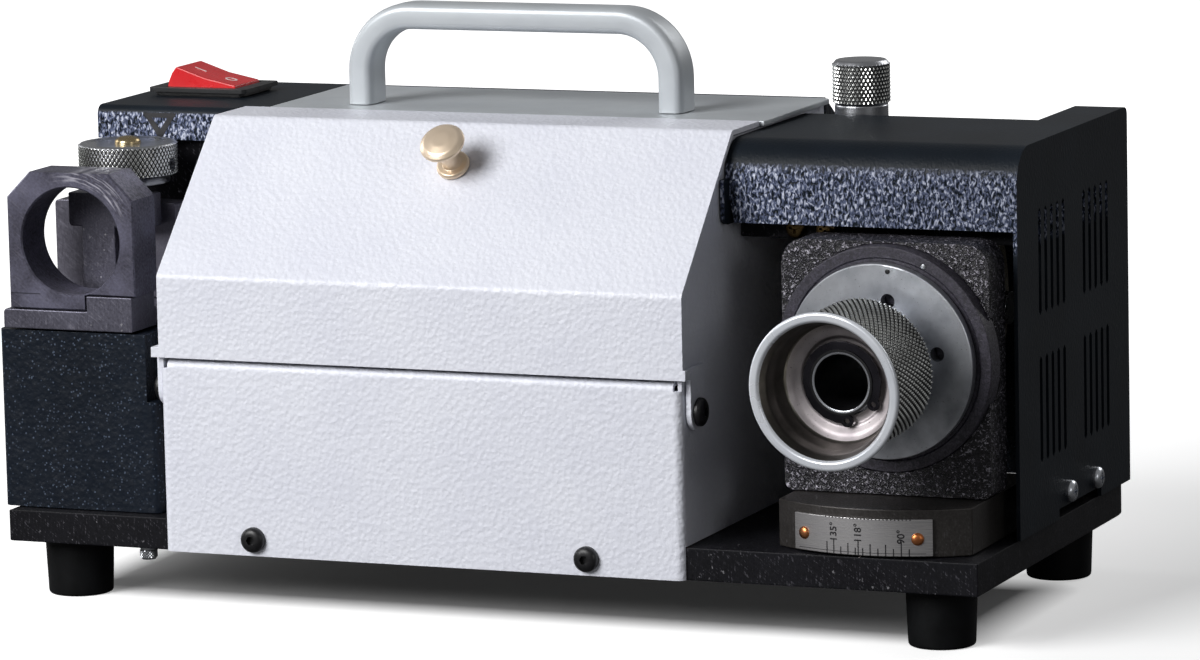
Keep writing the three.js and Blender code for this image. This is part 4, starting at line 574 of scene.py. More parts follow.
def hexagon(apothem):
    """A hexagon's edge as a radius for each angle."""
    return lambda angle: apothem / math.cos(angle % (full / 6) - full / 12)


def cross(arm, half):
    """A cross recess's edge as a radius for each angle."""
    def edge(angle):
        c, s = (max(abs(turn(angle)), 1e-6) for turn in (math.cos, math.sin))
        return max(min(arm / c, half / s), min(half / c, arm / s))
    return edge


def distance_to(polygon, less=0.0):
    """A polygon's edge round the origin as a radius for each angle, drawn in by less."""
    corners = [Vector(corner) for corner in polygon]
    def edge(angle):
        ray = Vector((math.cos(angle), math.sin(angle)))
        hits = []
        for near, far in zip(corners, corners[1:] + corners[:1]):
            side = far - near
            slant = ray.cross(side)
            if abs(slant) > 1e-12:
                reach = near.cross(side) / slant
                if -1e-6 <= near.cross(ray) / slant <= 1 + 1e-6 and reach > 0:
                    hits.append(reach)
        return max(hits) - less
    return edge


def dome(radius, height, parts):
    """The outline points of a dome, up to the last one before its crown."""
    turns = [t * quarter / parts for t in range(parts)]
    return [(radius * math.cos(turn), height * math.sin(turn)) for turn in turns]


def screw_head(bm, place, radius, height, socket, reach, depth):
    """A domed screw head on the surface at place, with a recess of the given edge."""
    turns = [t * quarter / 5 for t in range(6)]
    crown = [(radius - (radius - reach) * (1 - math.cos(turn)), height * (0.35 + 0.65 * math.sin(turn)))
             for turn in turns]
    outline = [(0, 0), (radius, 0), *crown, (socket, height), (socket, height - depth), (0, height - depth)]
    revolve(bm, outline, place, steps=48)


def cross_head(bm, place, *sizes):
    """A cross-head screw, from its radius, height, the cross's arm and half width, corner and depth in mm."""
    radius, height, arm, half, reach, depth = (size * mm for size in sizes)
    screw_head(bm, place, radius, height, cross(arm, half), reach, depth)


def slab(bm, corners, place, bottom, top):
    """A flat plate on local XY between two heights, from its corner points."""
    lower = [bm.verts.new(place @ Vector((x, y, bottom))) for x, y in corners]
    upper = [bm.verts.new(place @ Vector((x, y, top))) for x, y in corners]
    bm.faces.new(lower[::-1])
    bm.faces.new(upper)
    bridge(bm, [lower, upper], len(corners))


def bar(bm, place, start, end, half, bottom, top):
    """A flat bar along local X with half its width at each side."""
    slab(bm, [(start, -half), (end, -half), (end, half), (start, half)], place, bottom, top)


def words(bm, text, size, place, thickness):
    """Raised characters centred on place."""
    curve = bpy.data.curves.new("words", "FONT")
    curve.body = text
    curve.size = size
    curve.extrude = thickness / 2
    curve.offset = 0.018 * size
    curve.align_x = curve.align_y = "CENTER"
    holder = put("words", curve)
    bpy.context.view_layer.update()
    mesh = bpy.data.meshes.new_from_object(holder)
    mesh.transform(place)
    bm.from_mesh(mesh)
    bpy.data.objects.remove(holder)
    bpy.data.meshes.remove(mesh)
    bpy.data.curves.remove(curve)


# --- Feet

footTop = 11 * mm
footBottom = 9.8 * mm
footRim = 1.2 * mm
footHollow = 5.2 * mm
footFillet = 1.1 * mm
footScrew = (3.8, 2.4, 2.0, 0.5, 2.2, 1.3)


def foot(name):
    low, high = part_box(name)
    centre = (low + high) / 2
    place = Matrix.Translation((centre.x, centre.y, 0))
    height = high.z
    outline = rounded([
        (0, height), (footTop, height), (footTop, height - footRim),
        (footTop - footRim / 2, height - 1.6 * footRim),
        (footBottom, 0), (footHollow, 0), (footHollow, height / 2), (0, height / 2),
    ], footFillet, steps=4)
    turned(name + "_rubber", "frame", looks["rubber"], "rubber", outline, place, [name], 50, steps=64)
    bm = bmesh.new()
    cross_head(bm, aim((centre.x, centre.y, height / 2), (0, 0, -1)), *footScrew)
    make(name + "_screw", bm, "frame", looks["zinc"], "zinc")


for corner in ("front_left", "front_right", "rear_left", "rear_right"):
    foot("foot_" + corner)


# --- Gauge block: bored face, chamfered shoulders and the step over its base

gaugeBoreX = -131.6 * mm
gaugeBoreZ = 109.6 * mm
gaugeBore = 16.3 * mm
gaugeChamfer = 7.8 * mm
gaugeStepX = -127.3 * mm
gaugeStep = 4.7 * mm
gaugeEdge = 0.45 * mm
scribeDrop = 16.2 * mm


def scuffed_steel():
    """Oxidised steel with bright strokes in an arc over the bore's right shoulder and a scribed line."""
    look = Look("scuffed_steel", 0.42, 0.6)
    centre = Matrix.Translation((gaugeBoreX, 0, gaugeBoreZ))
    x, z = look.local(centre, "X"), look.local(centre, "Z")
    reach = look.calc("SQRT", look.sum(look.product(x, x), look.product(z, z)))
    turn = look.calc("ARCTAN2", z, x)
    polar = look.feed("ShaderNodeCombineXYZ", 0, {"X": look.product(turn, 2 * mm), "Y": reach})
    strokes = look.span(look.noise(0.7, 3.0, place=polar), 0.5, 0.64)
    ring = look.product(look.span(reach, 17.4 * mm, 18.6 * mm), look.span(reach, 24 * mm, 20.5 * mm))
    arc = look.product(ring, look.product(look.span(turn, 0.35, 0.75), look.span(turn, 1.9, 1.45)))
    mottle = look.clouds(0.8, 4.0)
    cloud = look.span(look.noise(12, 3.0), 0.35, 0.65)
    cuts = look.leaning(0.5, 0.1)
    base = look.blend(look.product(look.sum(mottle, cloud), 0.5), "77768a", "37353f")
    low = look.span(z, -20 * mm, -26 * mm, 0.15, 0.5)
    base = look.blend(look.product(look.span(cuts, 0.56, 0.7), low), base, "9c9aa8")
    line = look.span(look.calc("ABSOLUTE", look.calc("ADD", z, scribeDrop)), 0.22 * mm, 0.1 * mm)
    line = look.product(line, look.span(x, -10.5 * mm, -11 * mm))
    base = look.blend(look.product(line, 0.75), base, "18171b")
    look.paint(look.product(arc, strokes), base, "b9b7c3")
    look.set("Roughness", look.span(mottle, 0.0, 1.0, 0.34, 0.52))
    look.bump(look.sum(cuts, mottle, 0.4), 0.02 * mm)
    return look.material


def gauge_block():
    low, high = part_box("gauge_block")
    corners = [
        (low.x, low.z), (gaugeStepX, low.z), (gaugeStepX, low.z + gaugeStep), (high.x, low.z + gaugeStep),
        (high.x, high.z - gaugeChamfer), (high.x - gaugeChamfer, high.z), (low.x + gaugeChamfer, high.z),
        (low.x, high.z - gaugeChamfer),
    ]
    polygon = [(x - gaugeBoreX, z - gaugeBoreZ) for x, z in corners]
    corner_angles = [math.atan2(z, x) % full for x, z in polygon]
    angles = sorted(set([full * i / 120 for i in range(120)] + corner_angles))
    outer = distance_to(polygon)
    inner = distance_to(polygon, gaugeEdge)
    deep = high.y - low.y
    outline = [
        (gaugeBore, gaugeEdge - deep), (gaugeBore, -gaugeEdge), (gaugeBore + gaugeEdge, 0), (inner, 0),
        (outer, -gaugeEdge), (outer, gaugeEdge - deep), (inner, -deep), (gaugeBore + gaugeEdge, -deep),
    ]
    turned("gauge_body", "frame", scuffed_steel(), "black_steel", outline,
           aim((gaugeBoreX, low.y, gaugeBoreZ), (0, -1, 0)), ["gauge_block"], 20, steps=angles, closed=True)


gauge_block()


# --- Lid knob: its profile over the lid is in millimetres of radius and height

lidBend = Vector((0, frontFace - 1.3 * mm, 101.6 * mm))
lidTop = Vector((0, -23.366 * mm, sheetTop))
lidKnobX = -15.4 * mm
lidKnobShare = 0.725
pullBase = 5.1 * mm
pullProfile = (
    (5.1, 1.3), (4.6, 1.9), (2.8, 2.0), (2.7, 9.2), (6.4, 10.6), (6.9, 11.2), (6.8, 12.0), (5.4, 13.0),
    (2.6, 13.5), (0.0001, 13.6),
)


def lid_knob():
    slope = (lidTop - lidBend).normalized()
    face = lidBend.lerp(lidTop, lidKnobShare)
    place = aim((lidKnobX, face.y, face.z), Vector((1, 0, 0)).cross(slope))
    profile = sized(*pullProfile)
    edges = rounded([(profile[-1][0], seat), (pullBase, seat), *profile], 0.5 * mm, steps=5)[1:-1]
    turned("lid_pull", "lid", looks["brass"], "brass", [(0, seat), *edges, (0, profile[-1][1])], place,
           ["lid_knob"], 60, steps=80)


lid_knob()


# --- Carry handle

handleX = -14.8 * mm
handleY = 14.434 * mm
handleHalf = 50.85 * mm
handleThick = 8.2 * mm
handleDepth = 13.6 * mm
handleCrown = 176 * mm
handleBend = 17 * mm
handleRoundness = 0.5
handleFoot = 6 * mm
handleSides = 40
handleBendSteps = 14


def carry_handle():
    """A rounded bar swept up one leg, round two bends and down the other."""
    base = sheetTop + seat
    crown = handleCrown - handleThick / 2
    path = [Vector((-handleHalf, 0, base)), Vector((-handleHalf, 0, base + handleFoot))]
    for side, start in ((-1, full / 2), (1, quarter)):
        centre = Vector((side * (handleHalf - handleBend), 0, crown - handleBend))
        for step in range(handleBendSteps + 1):
            angle = start - step * quarter / handleBendSteps
            path.append(centre + Vector((math.cos(angle), 0, math.sin(angle))) * handleBend)
    path += [Vector((handleHalf, 0, base + handleFoot)), Vector((handleHalf, 0, base))]
    bm = bmesh.new()
    rings = []
    for i, point in enumerate(path):
        along = (path[min(i + 1, len(path) - 1)] - path[max(i - 1, 0)]).normalized()
        out = Vector((along.z, 0, -along.x))
        ring = []
        for step in range(handleSides):
            angle = full * step / handleSides
            c, s = math.cos(angle), math.sin(angle)
            x = math.copysign(abs(c) ** handleRoundness, c) * handleThick / 2
            y = math.copysign(abs(s) ** handleRoundness, s) * handleDepth / 2
            ring.append(bm.verts.new(point + out * x + Vector((handleX, handleY + y, 0))))
        rings.append(ring)
    bridge(bm, rings, handleSides)
    bm.faces.new(rings[0][::-1])
    bm.faces.new(rings[-1])
    make("handle_bar", bm, "frame", looks["grey_coat"], "grey_coat", ["carry_handle"], sharp=50)


carry_handle()


# --- Knurled knobs

thumbCount = 42
thumbRows = 5
thumbKnurl = 12.7 * mm     # from the knurl's lower edge to the knob's top
thumbShank = 4 * mm
thumbWaist = 8.1 * mm
thumbSeat = 139.2 * mm
adjustCount = 66
adjustRows = 4
adjustHeight = 10 * mm
adjustShank = 3.2 * mm
adjustCollar = 12.6 * mm
adjustHole = 3.4 * mm      # height of the locking screw's hole over the knob's lower edge


def knurled(name, body, material, under, grip, over, place, replaced=(), sharp=24, **turning):
    """A turned piece with a knurled band: grip holds its radius, ends, rows, count and depth."""
    radius, start, end, rows, count, depth = grip
    outline = [*under, *band(radius, start, end, rows), *over]
    return turned(name, body, material, "zinc", outline, place, replaced, sharp,
                  steps=4 * count, relief=knurl(len(under), rows, depth), **turning)


def shade_grooves(piece, name, grip, place):
    """Gives a piece's knurled band the look with painted shade in its grooves."""
    radius, start, end, rows, count, depth = grip
    look = knurled_steel(name, place, count, start, (end - start) / rows)
    dress(piece, place, [look], lambda reach, z: int(reach > radius - 1.3 * depth and start < z < end))


def thumb_knob():
    low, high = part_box("thumb_knob")
    middle = (low + high) / 2
    place = Matrix.Translation((middle.x, middle.y, 0))
    radius = (high.x - low.x) / 2
    top = high.z
    depth = 0.45 * mm
    start, end = top - thumbKnurl, top - 1.3 * mm
    under = [(0, low.z), (thumbShank, low.z), (thumbShank, thumbSeat), (thumbWaist, thumbSeat),
             (thumbWaist, start - 1.2 * mm), (radius - 0.9 * mm, start - 0.9 * mm),
             (radius - depth, start - 0.1 * mm)]
    over = rounded([(radius - depth, top - 1.1 * mm), (radius - 1.2 * mm, top), (0, top)], 0.6 * mm)
    grip = (radius, start, end, thumbRows, thumbCount, depth)
    knob = knurled("thumb_grip", "thumb_knob", looks["zinc"], under, grip, over, place, ["thumb_knob"])
    shade_grooves(knob, "thumb_knurl", grip, place)


def adjust_knob():
    low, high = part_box("adjust_knob")
    centre = Vector(joints["adjuster_turn"]["pos_m"])
    place = Matrix.Translation((centre.x, centre.y, 0))
    radius = (high.x - low.x) / 2
    top = high.z
    bottom = top - adjustHeight
    depth = 0.5 * mm
    start, end = bottom + 0.6 * mm, top - 0.6 * mm
    under = [(0, low.z), (adjustShank, low.z), (adjustShank, bottom - 2.4 * mm),
             *sized((-0.3, -2.4), (0, -2.1), (0, 0), out=adjustCollar, up=bottom),
             (radius - 0.9 * mm, bottom), (radius - depth, bottom + 0.4 * mm)]
    dish = [(radius - depth, top - 0.45 * mm),
            *sized((-0.75, -0.1), (-1.3, 0), (-2.2, -0.05), (-3.0, -0.45), out=radius, up=top),
            *sized((5, -0.6), (0, -0.6), up=top)]
    grip = (radius, start, end, adjustRows, adjustCount, depth)
    knob = knurled("adjust_grip", "adjuster", looks["zinc"], under, grip, dish, place, ["adjust_knob"])
    hole = bottom + adjustHole
    carve(knob, drill((centre.x + radius + 2 * mm, centre.y, hole), (-1, 0, 0), 2.1 * mm, 6 * mm))
    shade_grooves(knob, "adjust_knurl", grip, place)
    key = hexagon(1.0 * mm)
    socket = [*sized((0, 0), (2, 0), (2, 1.6)), (key, 1.6 * mm), (key, 0.4 * mm), (0, 0.4 * mm)]
    turned("adjust_set_screw", "adjuster", black_and_shade, "black_steel", socket,
           aim((centre.x + radius - 3.9 * mm, centre.y, hole), (1, 0, 0), (0, 1, 0)), steps=36)
    crown = [*sized((0, -0.6), (4, -0.6)), *dome(4 * mm, 1.9 * mm, 8), (0, 1.9 * mm)]
    turned("adjust_dome", "adjuster", old_brass, "brass", crown,
           Matrix.Translation((centre.x, centre.y, top)), ["adjust_screw"], 60, steps=48)


def drill(start, axis, radius, length):
    """A cylinder for a hole, as an object that carve() uses up."""
    bm = bmesh.new()
    revolve(bm, [(0, 0), (radius, 0), (radius, length), (0, length)], aim(start, axis, (0, 1, 0.1)), steps=40)
    bmesh.ops.recalc_face_normals(bm, faces=bm.faces)
    return put("drill", mesh_from("drill", bm))


def carve(piece, *cutters):
    """Cuts the holes for good and shades their edges sharp."""
    for cutter in cutters:
        modify(piece, "hole", "BOOLEAN", operation="DIFFERENCE", solver="EXACT", object=cutter)
    graph = bpy.context.evaluated_depsgraph_get()
    mesh = bpy.data.meshes.new_from_object(piece.evaluated_get(graph))
    piece.modifiers.clear()
    piece.data = mesh
    mesh.set_sharp_from_angle(angle=math.radians(24))
    weigh(piece)
    for cutter in cutters:
        bpy.data.objects.remove(cutter)


thumb_knob()
adjust_knob()


# --- Chuck line: local Z runs out of the machine along the chuck's axis

chuckPlace = aim(joints["chuck_slide"]["pos_m"], joints["chuck_slide"]["axis"])
portRadius = 33.3 * mm
portFlange = 7 * mm
portBoss = 20.4 * mm
portBossLong = 26 * mm
guideRadius = 28.8 * mm
guideFlange = 3 * mm
guideSleeve = 16.1 * mm
guideBack = -35 * mm
guideSpigot = 15.4 * mm
guideSpigotFront = 9.4 * mm
guideHoles = (80, 10)
tubeRadius = 12.2 * mm
tubeNose = 9.6 * mm
tubeBore = 8.2 * mm
tubeLip = 8.8 * mm
tubeBack = -36 * mm
tubeNeck = 23.5 * mm
tubeFront = 28.3 * mm
nutRadius = 21.2 * mm
nutRim = 23 * mm
nutBack = 10 * mm
nutFront = 41.6 * mm
nutFloor = 26.4 * mm


def on_chuck(radius, degrees, along):
    angle = math.radians(degrees)
    return chuckPlace @ Vector((radius * math.cos(angle), radius * math.sin(angle), along))


def port_bush():
    face = -guideFlange - seat
    shoulder = face - portFlange
    bore = guideSleeve + 0.35 * mm
    outline = rounded([
        (bore, shoulder - portBossLong), (portBoss, shoulder - portBossLong), (portBoss, shoulder),
        (portRadius, shoulder), (portRadius, face), (guideRadius + 1.2 * mm, face),
        (guideRadius + 0.9 * mm, face - 0.5 * mm), (bore, face - 0.5 * mm),
    ], 0.5 * mm, closed=True)
    turned("port_ring", "swivel", port_look, "black_steel", outline, chuckPlace, ["port_bush"],
           steps=128, closed=True)


def pin(name, body, material, slot, place, outline, fillet):
    outward = chuckPlace.to_3x3() @ Vector((0, 0, 1))
    turned(name, body, material, slot, rounded(sized(*outline), fillet), aim(place, outward), steps=28)


def guide_flange():
    bore = tubeRadius + 0.35 * mm
    outline = rounded([
        (bore, guideBack), (guideSleeve, guideBack), (guideSleeve, -guideFlange), (guideRadius, -guideFlange),
        (guideRadius, 0), (guideSpigot, 0), (guideSpigot, guideSpigotFront), (bore, guideSpigotFront),
    ], 0.45 * mm, closed=True)
    plate = turned("guide_plate", "guide", flange_look, "zinc", outline, chuckPlace, ["guide_flange"],
                   steps=160, closed=True)
    inward = chuckPlace.to_3x3() @ Vector((0, 0, -1))
    starts = (on_chuck(18.3 * mm, degrees, 2 * mm) for degrees in guideHoles)
    carve(plate, *(drill(start, inward, 2.15 * mm, 8 * mm) for start in starts))
    pin("guide_pin", "guide", black_and_shade, "black_steel", on_chuck(26.9 * mm, 82.7, 0),
        [(0, -0.6), (0.7, -0.6), (0.7, 0.25), (0, 0.35)], 0.15 * mm)
    pin("port_pin", "swivel", looks["zinc"], "zinc", on_chuck(30.9 * mm, 64.6, -guideFlange - seat),
        [(0, -1.5), (0.8, -1.5), (0.8, 0.3), (0, 0.4)], 0.2 * mm)


def chuck_tube():
    """The tube with the groove for its retaining ring in front of the nut's floor."""
    outline = rounded([
        (11 * mm, tubeBack), (tubeRadius, tubeBack), (tubeRadius, tubeNeck), (tubeNose, tubeNeck),
        (tubeNose, nutFloor + 0.3 * mm), *sized((8.9, 0.3), (8.9, 1.8), up=nutFloor),
        (tubeNose, nutFloor + 1.8 * mm), (tubeNose, tubeFront), (tubeLip, tubeFront),
        (tubeBore, tubeFront - 0.1 * mm), (tubeBore, -20 * mm),
    ], 0.18 * mm, closed=True)
    sleeve = turned("chuck_sleeve", "chuck", bright_edge, "grey_steel", outline, chuckPlace,
                    ["chuck_tube"], steps=96, closed=True)
    # The bore and the tube's nose inside the nut's bowl are painted black as shade
    nose = nutFloor + 0.4 * mm
    dress(sleeve, chuckPlace, [black_and_shade],
          lambda reach, z: int(reach < tubeBore + 0.05 * mm or (reach > tubeLip and z > nose)))


def chuck_nut():
    rows, count, depth = 9, 80, 0.6 * mm
    rim, lip = 3.6 * mm, 1.9 * mm
    bore = tubeRadius + 0.35 * mm
    noseBore = tubeNose + 0.35 * mm
    step = 23.85 * mm
    back = [(noseBore, step), (bore, step), (bore, nutBack), (nutRadius - lip, nutBack),
            (nutRadius - depth, nutBack + lip / 2)]
    front = rounded([
        (nutRadius - depth, nutFront - rim - 0.3 * mm), (nutRadius + 0.5 * mm, nutFront - rim + 0.2 * mm),
        (nutRim - 0.1 * mm, nutFront - 0.45 * rim),
        *sized((0, -0.6), (-0.6, 0), (-2.4, 0), (-3.0, -0.7), out=nutRim, up=nutFront),
        *sized((-2.4, -3.6), (-2.5, -8.4), out=nutRadius, up=nutFront),
        *sized((17.6, 2.2), (15.6, 0.4), (13.2, 0), (12.5, -0.7), up=nutFloor),
        (noseBore, nutFloor - 0.7 * mm), (noseBore, step),
    ], 0.8 * mm, steps=4)[:-1]
    low, high = nutBack + lip / 2 + 0.3 * mm, nutFront - rim - 0.6 * mm
    nut = knurled("chuck_grip", "nut", nut_look, back, (nutRadius, low, high, rows, count, depth), front,
                  chuckPlace, ["chuck_nut"], closed=True)

    def part(reach, z):
        if z > nutFront - 0.9 * mm:
            return 4
        if reach > nutRadius - 1.3 * depth:
            return int(low < z < high)
        return 2 if z > nutFloor + 1.4 * mm else 3 if z > nutFloor - 1.2 * mm else 0

    grip = knurled_steel("chuck_knurl", chuckPlace, count, low, (high - low) / rows)
    # The front rim is painted near-white as a painted reflection
    dress(nut, chuckPlace, [grip, wall_look, bowl_look, rim_look], part)


port_bush()
guide_flange()
chuck_tube()
chuck_nut()


# --- Scale plate: marks and rivets round the swivel axis

swivel = Vector(joints["head_swivel"]["pos_m"])
scaleRadius = 51.1 * mm
scaleLow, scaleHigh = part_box("scale_plate")
pointAngle = 0.51          # degrees of swivel for a degree of point angle
zeroPoint = 90
zeroPlace = 13.29
labels = {135: 34.7, 118: 34.8, 90: 34.1}
dashes = 24
dashStart = -12.5
dashPitch = 1.25
lineParts = 40
lineStart = -23.6
linePart = 1.12
longTicks = (135, 118, 90)
middleTicks = (140, 125, 110, 100)
tickStep = 5
tickWidth = 0.32 * mm
rivets = (-21.37, 18.61)


def on_scale(degrees, height, lift=0.0):
    """A matrix on the plate's face: local X up the plate, local Y to the left, local Z out."""
    out = Matrix.Rotation(math.radians(degrees), 3, "Z") @ Vector((0, -1, 0))
    return aim(Vector((swivel.x, swivel.y, height)) + out * (scaleRadius + lift), out, (0, 0, 1))


def scale_marks():
    bm = bmesh.new()
    for point in (*range(85, 145, tickStep), 118):
        degrees = zeroPlace + (zeroPoint - point) * pointAngle
        length = (4.4 if point in longTicks else 3.4 if point in middleTicks else 2.2) * mm
        place = on_scale(degrees, scaleLow.z + 0.05 * mm)
        bar(bm, place, 0, length, tickWidth / 2, 0, 0.05 * mm)
    for i in range(dashes):
        place = on_scale(dashStart + i * dashPitch, scaleHigh.z - 0.3 * mm)
        bar(bm, place, 0, 0.25 * mm, 0.2 * mm, 0, 0.04 * mm)
    for i in range(lineParts):
        place = on_scale(lineStart + (i + 0.5) * linePart, scaleLow.z + 0.8 * mm)
        bar(bm, place, 0, 0.14 * mm, scaleRadius * math.radians(linePart) / 2, 0.01 * mm, 0.04 * mm)
    for point, height in labels.items():
        degrees = zeroPlace + (zeroPoint - point) * pointAngle
        words(bm, f"{point}°", 3.0 * mm, on_scale(degrees, height * mm, 0.02 * mm), 0.06 * mm)
    make("scale_marks", bm, "swivel", ink, "black_plastic")
    bm = bmesh.new()
    for degrees in rivets:
        revolve(bm, [(0, -0.2 * mm), *dome(1.85 * mm, 0.95 * mm, 6), (0, 0.95 * mm)],
                on_scale(degrees, 33.4 * mm), steps=40)
    make("scale_rivets", bm, "swivel", copper, "brass", sharp=60)
    bm = bmesh.new()
    index = aim((swivel.x - 1 * mm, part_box("base_plate")[0].y + 0.4 * mm, plateTop), (0, 0, 1), (0, 1, 0))
    bar(bm, index, 0, 1.3 * mm, 0.15 * mm, 0, 0.05 * mm)
    make("index_line", bm, "frame", pale_ink, "zinc")


scale_marks()


# --- Fasteners: cross-head sizes are those that cross_head() names

panelScrew = (3.3, 2.3, 1.7, 0.4, 1.8, 1.1)
rearScrew = (2.9, 2, 1.5, 0.35, 1.6, 1.0)
bracketScrew = (3.3, 2.2, 1.7, 0.4, 1.8, 1.1)
coverScrewX = (-70.6 * mm, 36.8 * mm)
coverScrewZ = 23 * mm
panelScrewPlaces = ((16.2 * mm, 34.8 * mm), (41.2 * mm, 34.4 * mm))
bracketScrewX = (85.8 * mm, 95.2 * mm)
bracketScrewZ = 115.6 * mm
rearScrewRows = (34 * mm, 124 * mm)
rearScrewX = (-38 * mm, 22 * mm)
socketKey = 1.25 * mm
socketCorner = 1.75 * mm
hingeHead = 2.2 * mm
plateScrewGrip = (2.75 * mm, 1.1 * mm, 3.1 * mm, 2, 20, 0.3 * mm)


def screws():
    bm = bmesh.new()
    for x in coverScrewX:
        screw_head(bm, aim((x, frontFace, coverScrewZ), (0, -1, 0)), 3.8 * mm, 2.6 * mm,
                   hexagon(socketKey), socketCorner, 1.5 * mm)
    for name, sign in (("hinge_screw_left", -1), ("hinge_screw_right", 1)):
        low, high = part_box(name)
        centre = (low + high) / 2
        at = (high.x - hingeHead if sign > 0 else low.x + hingeHead, centre.y, centre.z)
        screw_head(bm, aim(at, (sign, 0, 0), (0, 1, 0)), 4.2 * mm, hingeHead,
                   hexagon(socketKey), socketCorner, 1.4 * mm)
        revolve(bm, sized((0, 0), (2, 0), (2, 6.5), (0, 6.5)), aim(at, (-sign, 0, 0), (0, 1, 0)), steps=24)
    make("cover_screws", bm, "frame", black_and_shade, "black_steel", ["hinge_screw_left", "hinge_screw_right"])

    bm = bmesh.new()
    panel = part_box("right_cover")[1].x
    for y, z in panelScrewPlaces:
        cross_head(bm, aim((panel, y, z), (1, 0, 0), (0, 1, 0)), *panelScrew)
    rear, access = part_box("rear_cover"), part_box("wheel_access_cover")
    places = [(x, rear[1].y, z) for x in (rear[0].x + 8 * mm, *rearScrewX, rear[1].x - 8 * mm)
              for z in rearScrewRows]
    places += [(x, access[1].y, rearScrewRows[0]) for x in (access[0].x + 10 * mm, access[1].x - 10 * mm)]
    for at in places:
        cross_head(bm, aim(at, (0, 1, 0)), *rearScrew)
    make("panel_screws", bm, "frame", bright_edge, "zinc")

    bm = bmesh.new()
    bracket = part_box("roof_bracket")[0].y
    for x in bracketScrewX:
        cross_head(bm, aim((x, bracket, bracketScrewZ), (0, -1, 0)), *bracketScrew)
    make("bracket_screws", bm, "frame", dull_brass, "brass")


def plate_screw():
    """Small knurled cap screw that hangs under the base plate at the left."""
    under = sized((0, 0), (2.6, 0), (2.6, 0.4), (2.4, 0.9))
    over = rounded(sized((2.4, 3.3), (2.1, 3.9), (0, 3.9)), 0.3 * mm)
    place = aim((-109 * mm, -58 * mm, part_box("base_plate")[0].z - 0.2 * mm), (0, 0, -1))
    knurled("plate_screw", "frame", looks["zinc"], under, plateScrewGrip, over, place, sharp=40)


screws()
plate_screw()


# --- Marks on the switch and the upper left cover

rockerPivot = Vector(joints["switch_rock"]["pos_m"])
rockerLean = math.radians(15.2)
rockerRise = math.atan2(0.65, 10.48)
markHigh = 0.06 * mm


def switch_marks():
    """A stroke on the far face and a ring on the near face of the rocker."""
    lean = Matrix.Translation(rockerPivot) @ Matrix.Rotation(rockerLean, 4, "Y")
    left, right = (lean @ Matrix.Translation((side * 5.4 * mm, -1.0 * mm, 5.35 * mm))
                   @ Matrix.Rotation(-side * rockerRise, 4, "Y") for side in (-1, 1))
    bm = bmesh.new()
    bar(bm, left, -2 * mm, 2 * mm, 0.35 * mm, 0, markHigh)
    revolve(bm, [(1.3 * mm, 0), (1.95 * mm, 0), (1.95 * mm, markHigh), (1.3 * mm, markHigh)], right,
            steps=40, closed=True)
    make("switch_marks", bm, "rocker", pale_ink, "red_plastic")


def lip_mark():
    """Dark triangle frame on the upper left cover's lip, pointing down at the gauge."""
    x, top = -125.3 * mm, 142.6 * mm
    half, height, border = 5.7 * mm, 8.4 * mm, 2.7 * mm
    place = aim((x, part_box("upper_left_cover")[0].y, top), (0, -1, 0))
    outer = [Vector((-half, 0)), Vector((0, -height)), Vector((half, 0))]
    centre = sum(outer, Vector((0, 0))) / 3
    inner = [p + (centre - p) * (border / (centre - p).length) * 1.25 for p in outer]
    bm = bmesh.new()
    for i in range(3):
        slab(bm, [outer[i - 1], outer[i], inner[i], inner[i - 1]], place, 0, 0.12 * mm)
    make("lip_mark", bm, "frame", ink, "black_plastic")


switch_marks()
lip_mark()


# --- Stage: floor, lamps, world and camera

lampTarget = Vector((0, 0, 0.08))
floorTones = ((0.1, 0.1, 0.1, 1), (0.9, 0.9, 0.9, 1))
shadowSide = (0.10, 0.18)  # where the floor's own light falls off towards the side away from the key lamp
shadowSideShare = 0.66


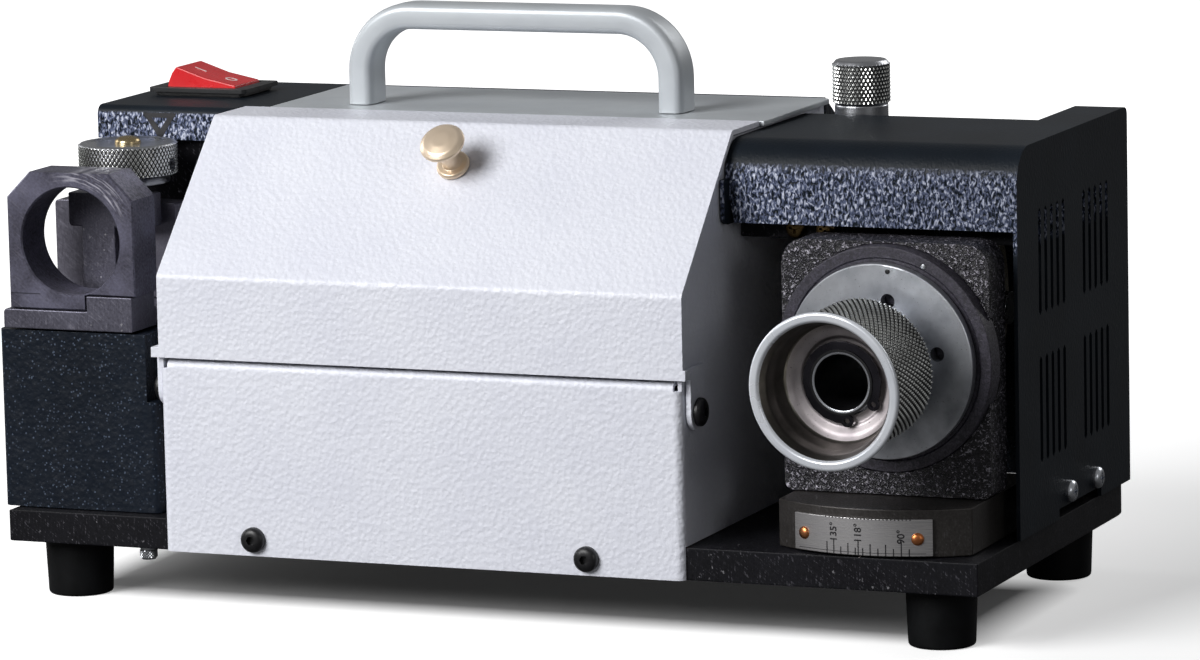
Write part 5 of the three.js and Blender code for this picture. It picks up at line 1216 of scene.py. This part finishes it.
def floor():
    """White floor to the camera that keeps the object's shadow, dark to the light that bounces off it."""
    look = Look("floor", 0.9)
    seen = look.feed("ShaderNodeLightPath", "Is Camera Ray", {})
    look.paint(seen, *floorTones)
    look.bump(look.noise(40), 0.01 * mm)
    beyond = look.vector("SUBTRACT", look.vector("ABSOLUTE", look.place), footprint)
    reach = look.vector("LENGTH", look.vector("MAXIMUM", beyond, (0, 0, 0)), output="Value")
    share = look.span(look.axis("X"), *shadowSide, shadowShare, shadowSideShare * shadowShare)
    near = look.product(look.span(reach, 0.0, shadowFade, 0.03, 1.0), share)
    glow = look.sum(near, look.span(reach, 0.3, 1.0), 1 - shadowShare)
    look.shader.inputs["Emission Color"].default_value = (1, 1, 1, 1)
    look.set("Emission Strength", look.product(seen, glow))
    bm = bmesh.new()
    bmesh.ops.create_grid(bm, x_segments=8, y_segments=8, size=30)
    mesh = mesh_from("floor", bm)
    mesh.materials.append(look.material)
    sheet = put("floor", mesh)


def lamp(name, place, size, power):
    data = bpy.data.lights.new(name, "AREA")
    data.size = size
    data.energy = power
    holder = put(name, data)
    holder.location = place
    holder.rotation_mode = "QUATERNION"
    holder.rotation_quaternion = (lampTarget - Vector(place)).to_track_quat("-Z", "Y")


def world():
    """White to the camera and through glass, dimmer white to metal, and weak bluish light on the rest."""
    scene = bpy.context.scene
    scene.world = bpy.data.worlds.new("world")
    scene.world.use_nodes = True
    tree = scene.world.node_tree
    tree.nodes.clear()

    def ray(kind):
        return feed(tree, "ShaderNodeLightPath", f"Is {kind} Ray", {})

    def backdrop(tint, strength):
        return feed(tree, "ShaderNodeBackground", 0, {"Color": tint, "Strength": strength})

    def mixed(*sources):
        return feed(tree, "ShaderNodeMixShader", 0, dict(enumerate(sources)))

    around = backdrop((0.93, 0.95, 1.0, 1), aroundStrength)
    mirrored = mixed(ray("Glossy"), around, backdrop((1, 1, 1, 1), glossStrength))
    direct = feed(tree, "ShaderNodeMath", 0, {0: ray("Camera"), 1: ray("Transmission")}, operation="MAXIMUM")
    shown = mixed(direct, mirrored, backdrop((1, 1, 1, 1), 1.0))
    feed(tree, "ShaderNodeOutputWorld", None, {"Surface": shown})
    scene.view_settings.view_transform = "Standard"


def camera():
    place = Matrix.Translation(cameraTarget)
    for angle, axis in ((cameraYaw, "Z"), (quarter - cameraPitch, "X"), (cameraRoll, "Z")):
        place @= Matrix.Rotation(angle, 4, axis)
    data = bpy.data.cameras.new("camera")
    data.sensor_width = sensorWidth
    data.lens = focalPixels / photoWidth * sensorWidth
    data.clip_start = 0.1
    holder = put("camera", data)
    holder.matrix_world = place @ Matrix.Translation((0, 0, cameraDistance))
    bpy.context.scene.camera = holder


floor()
lamp("key", (-0.69, -1.30, 0.93), 0.9, 29)
lamp("fill", (1.35, -0.85, 0.5), 0.5, 1.2)
lamp("left", (-1.5, 0.1, 0.6), 0.7, 5)
lamp("rear", (0.7, 1.5, 1.0), 0.9, 8)
world()
camera()
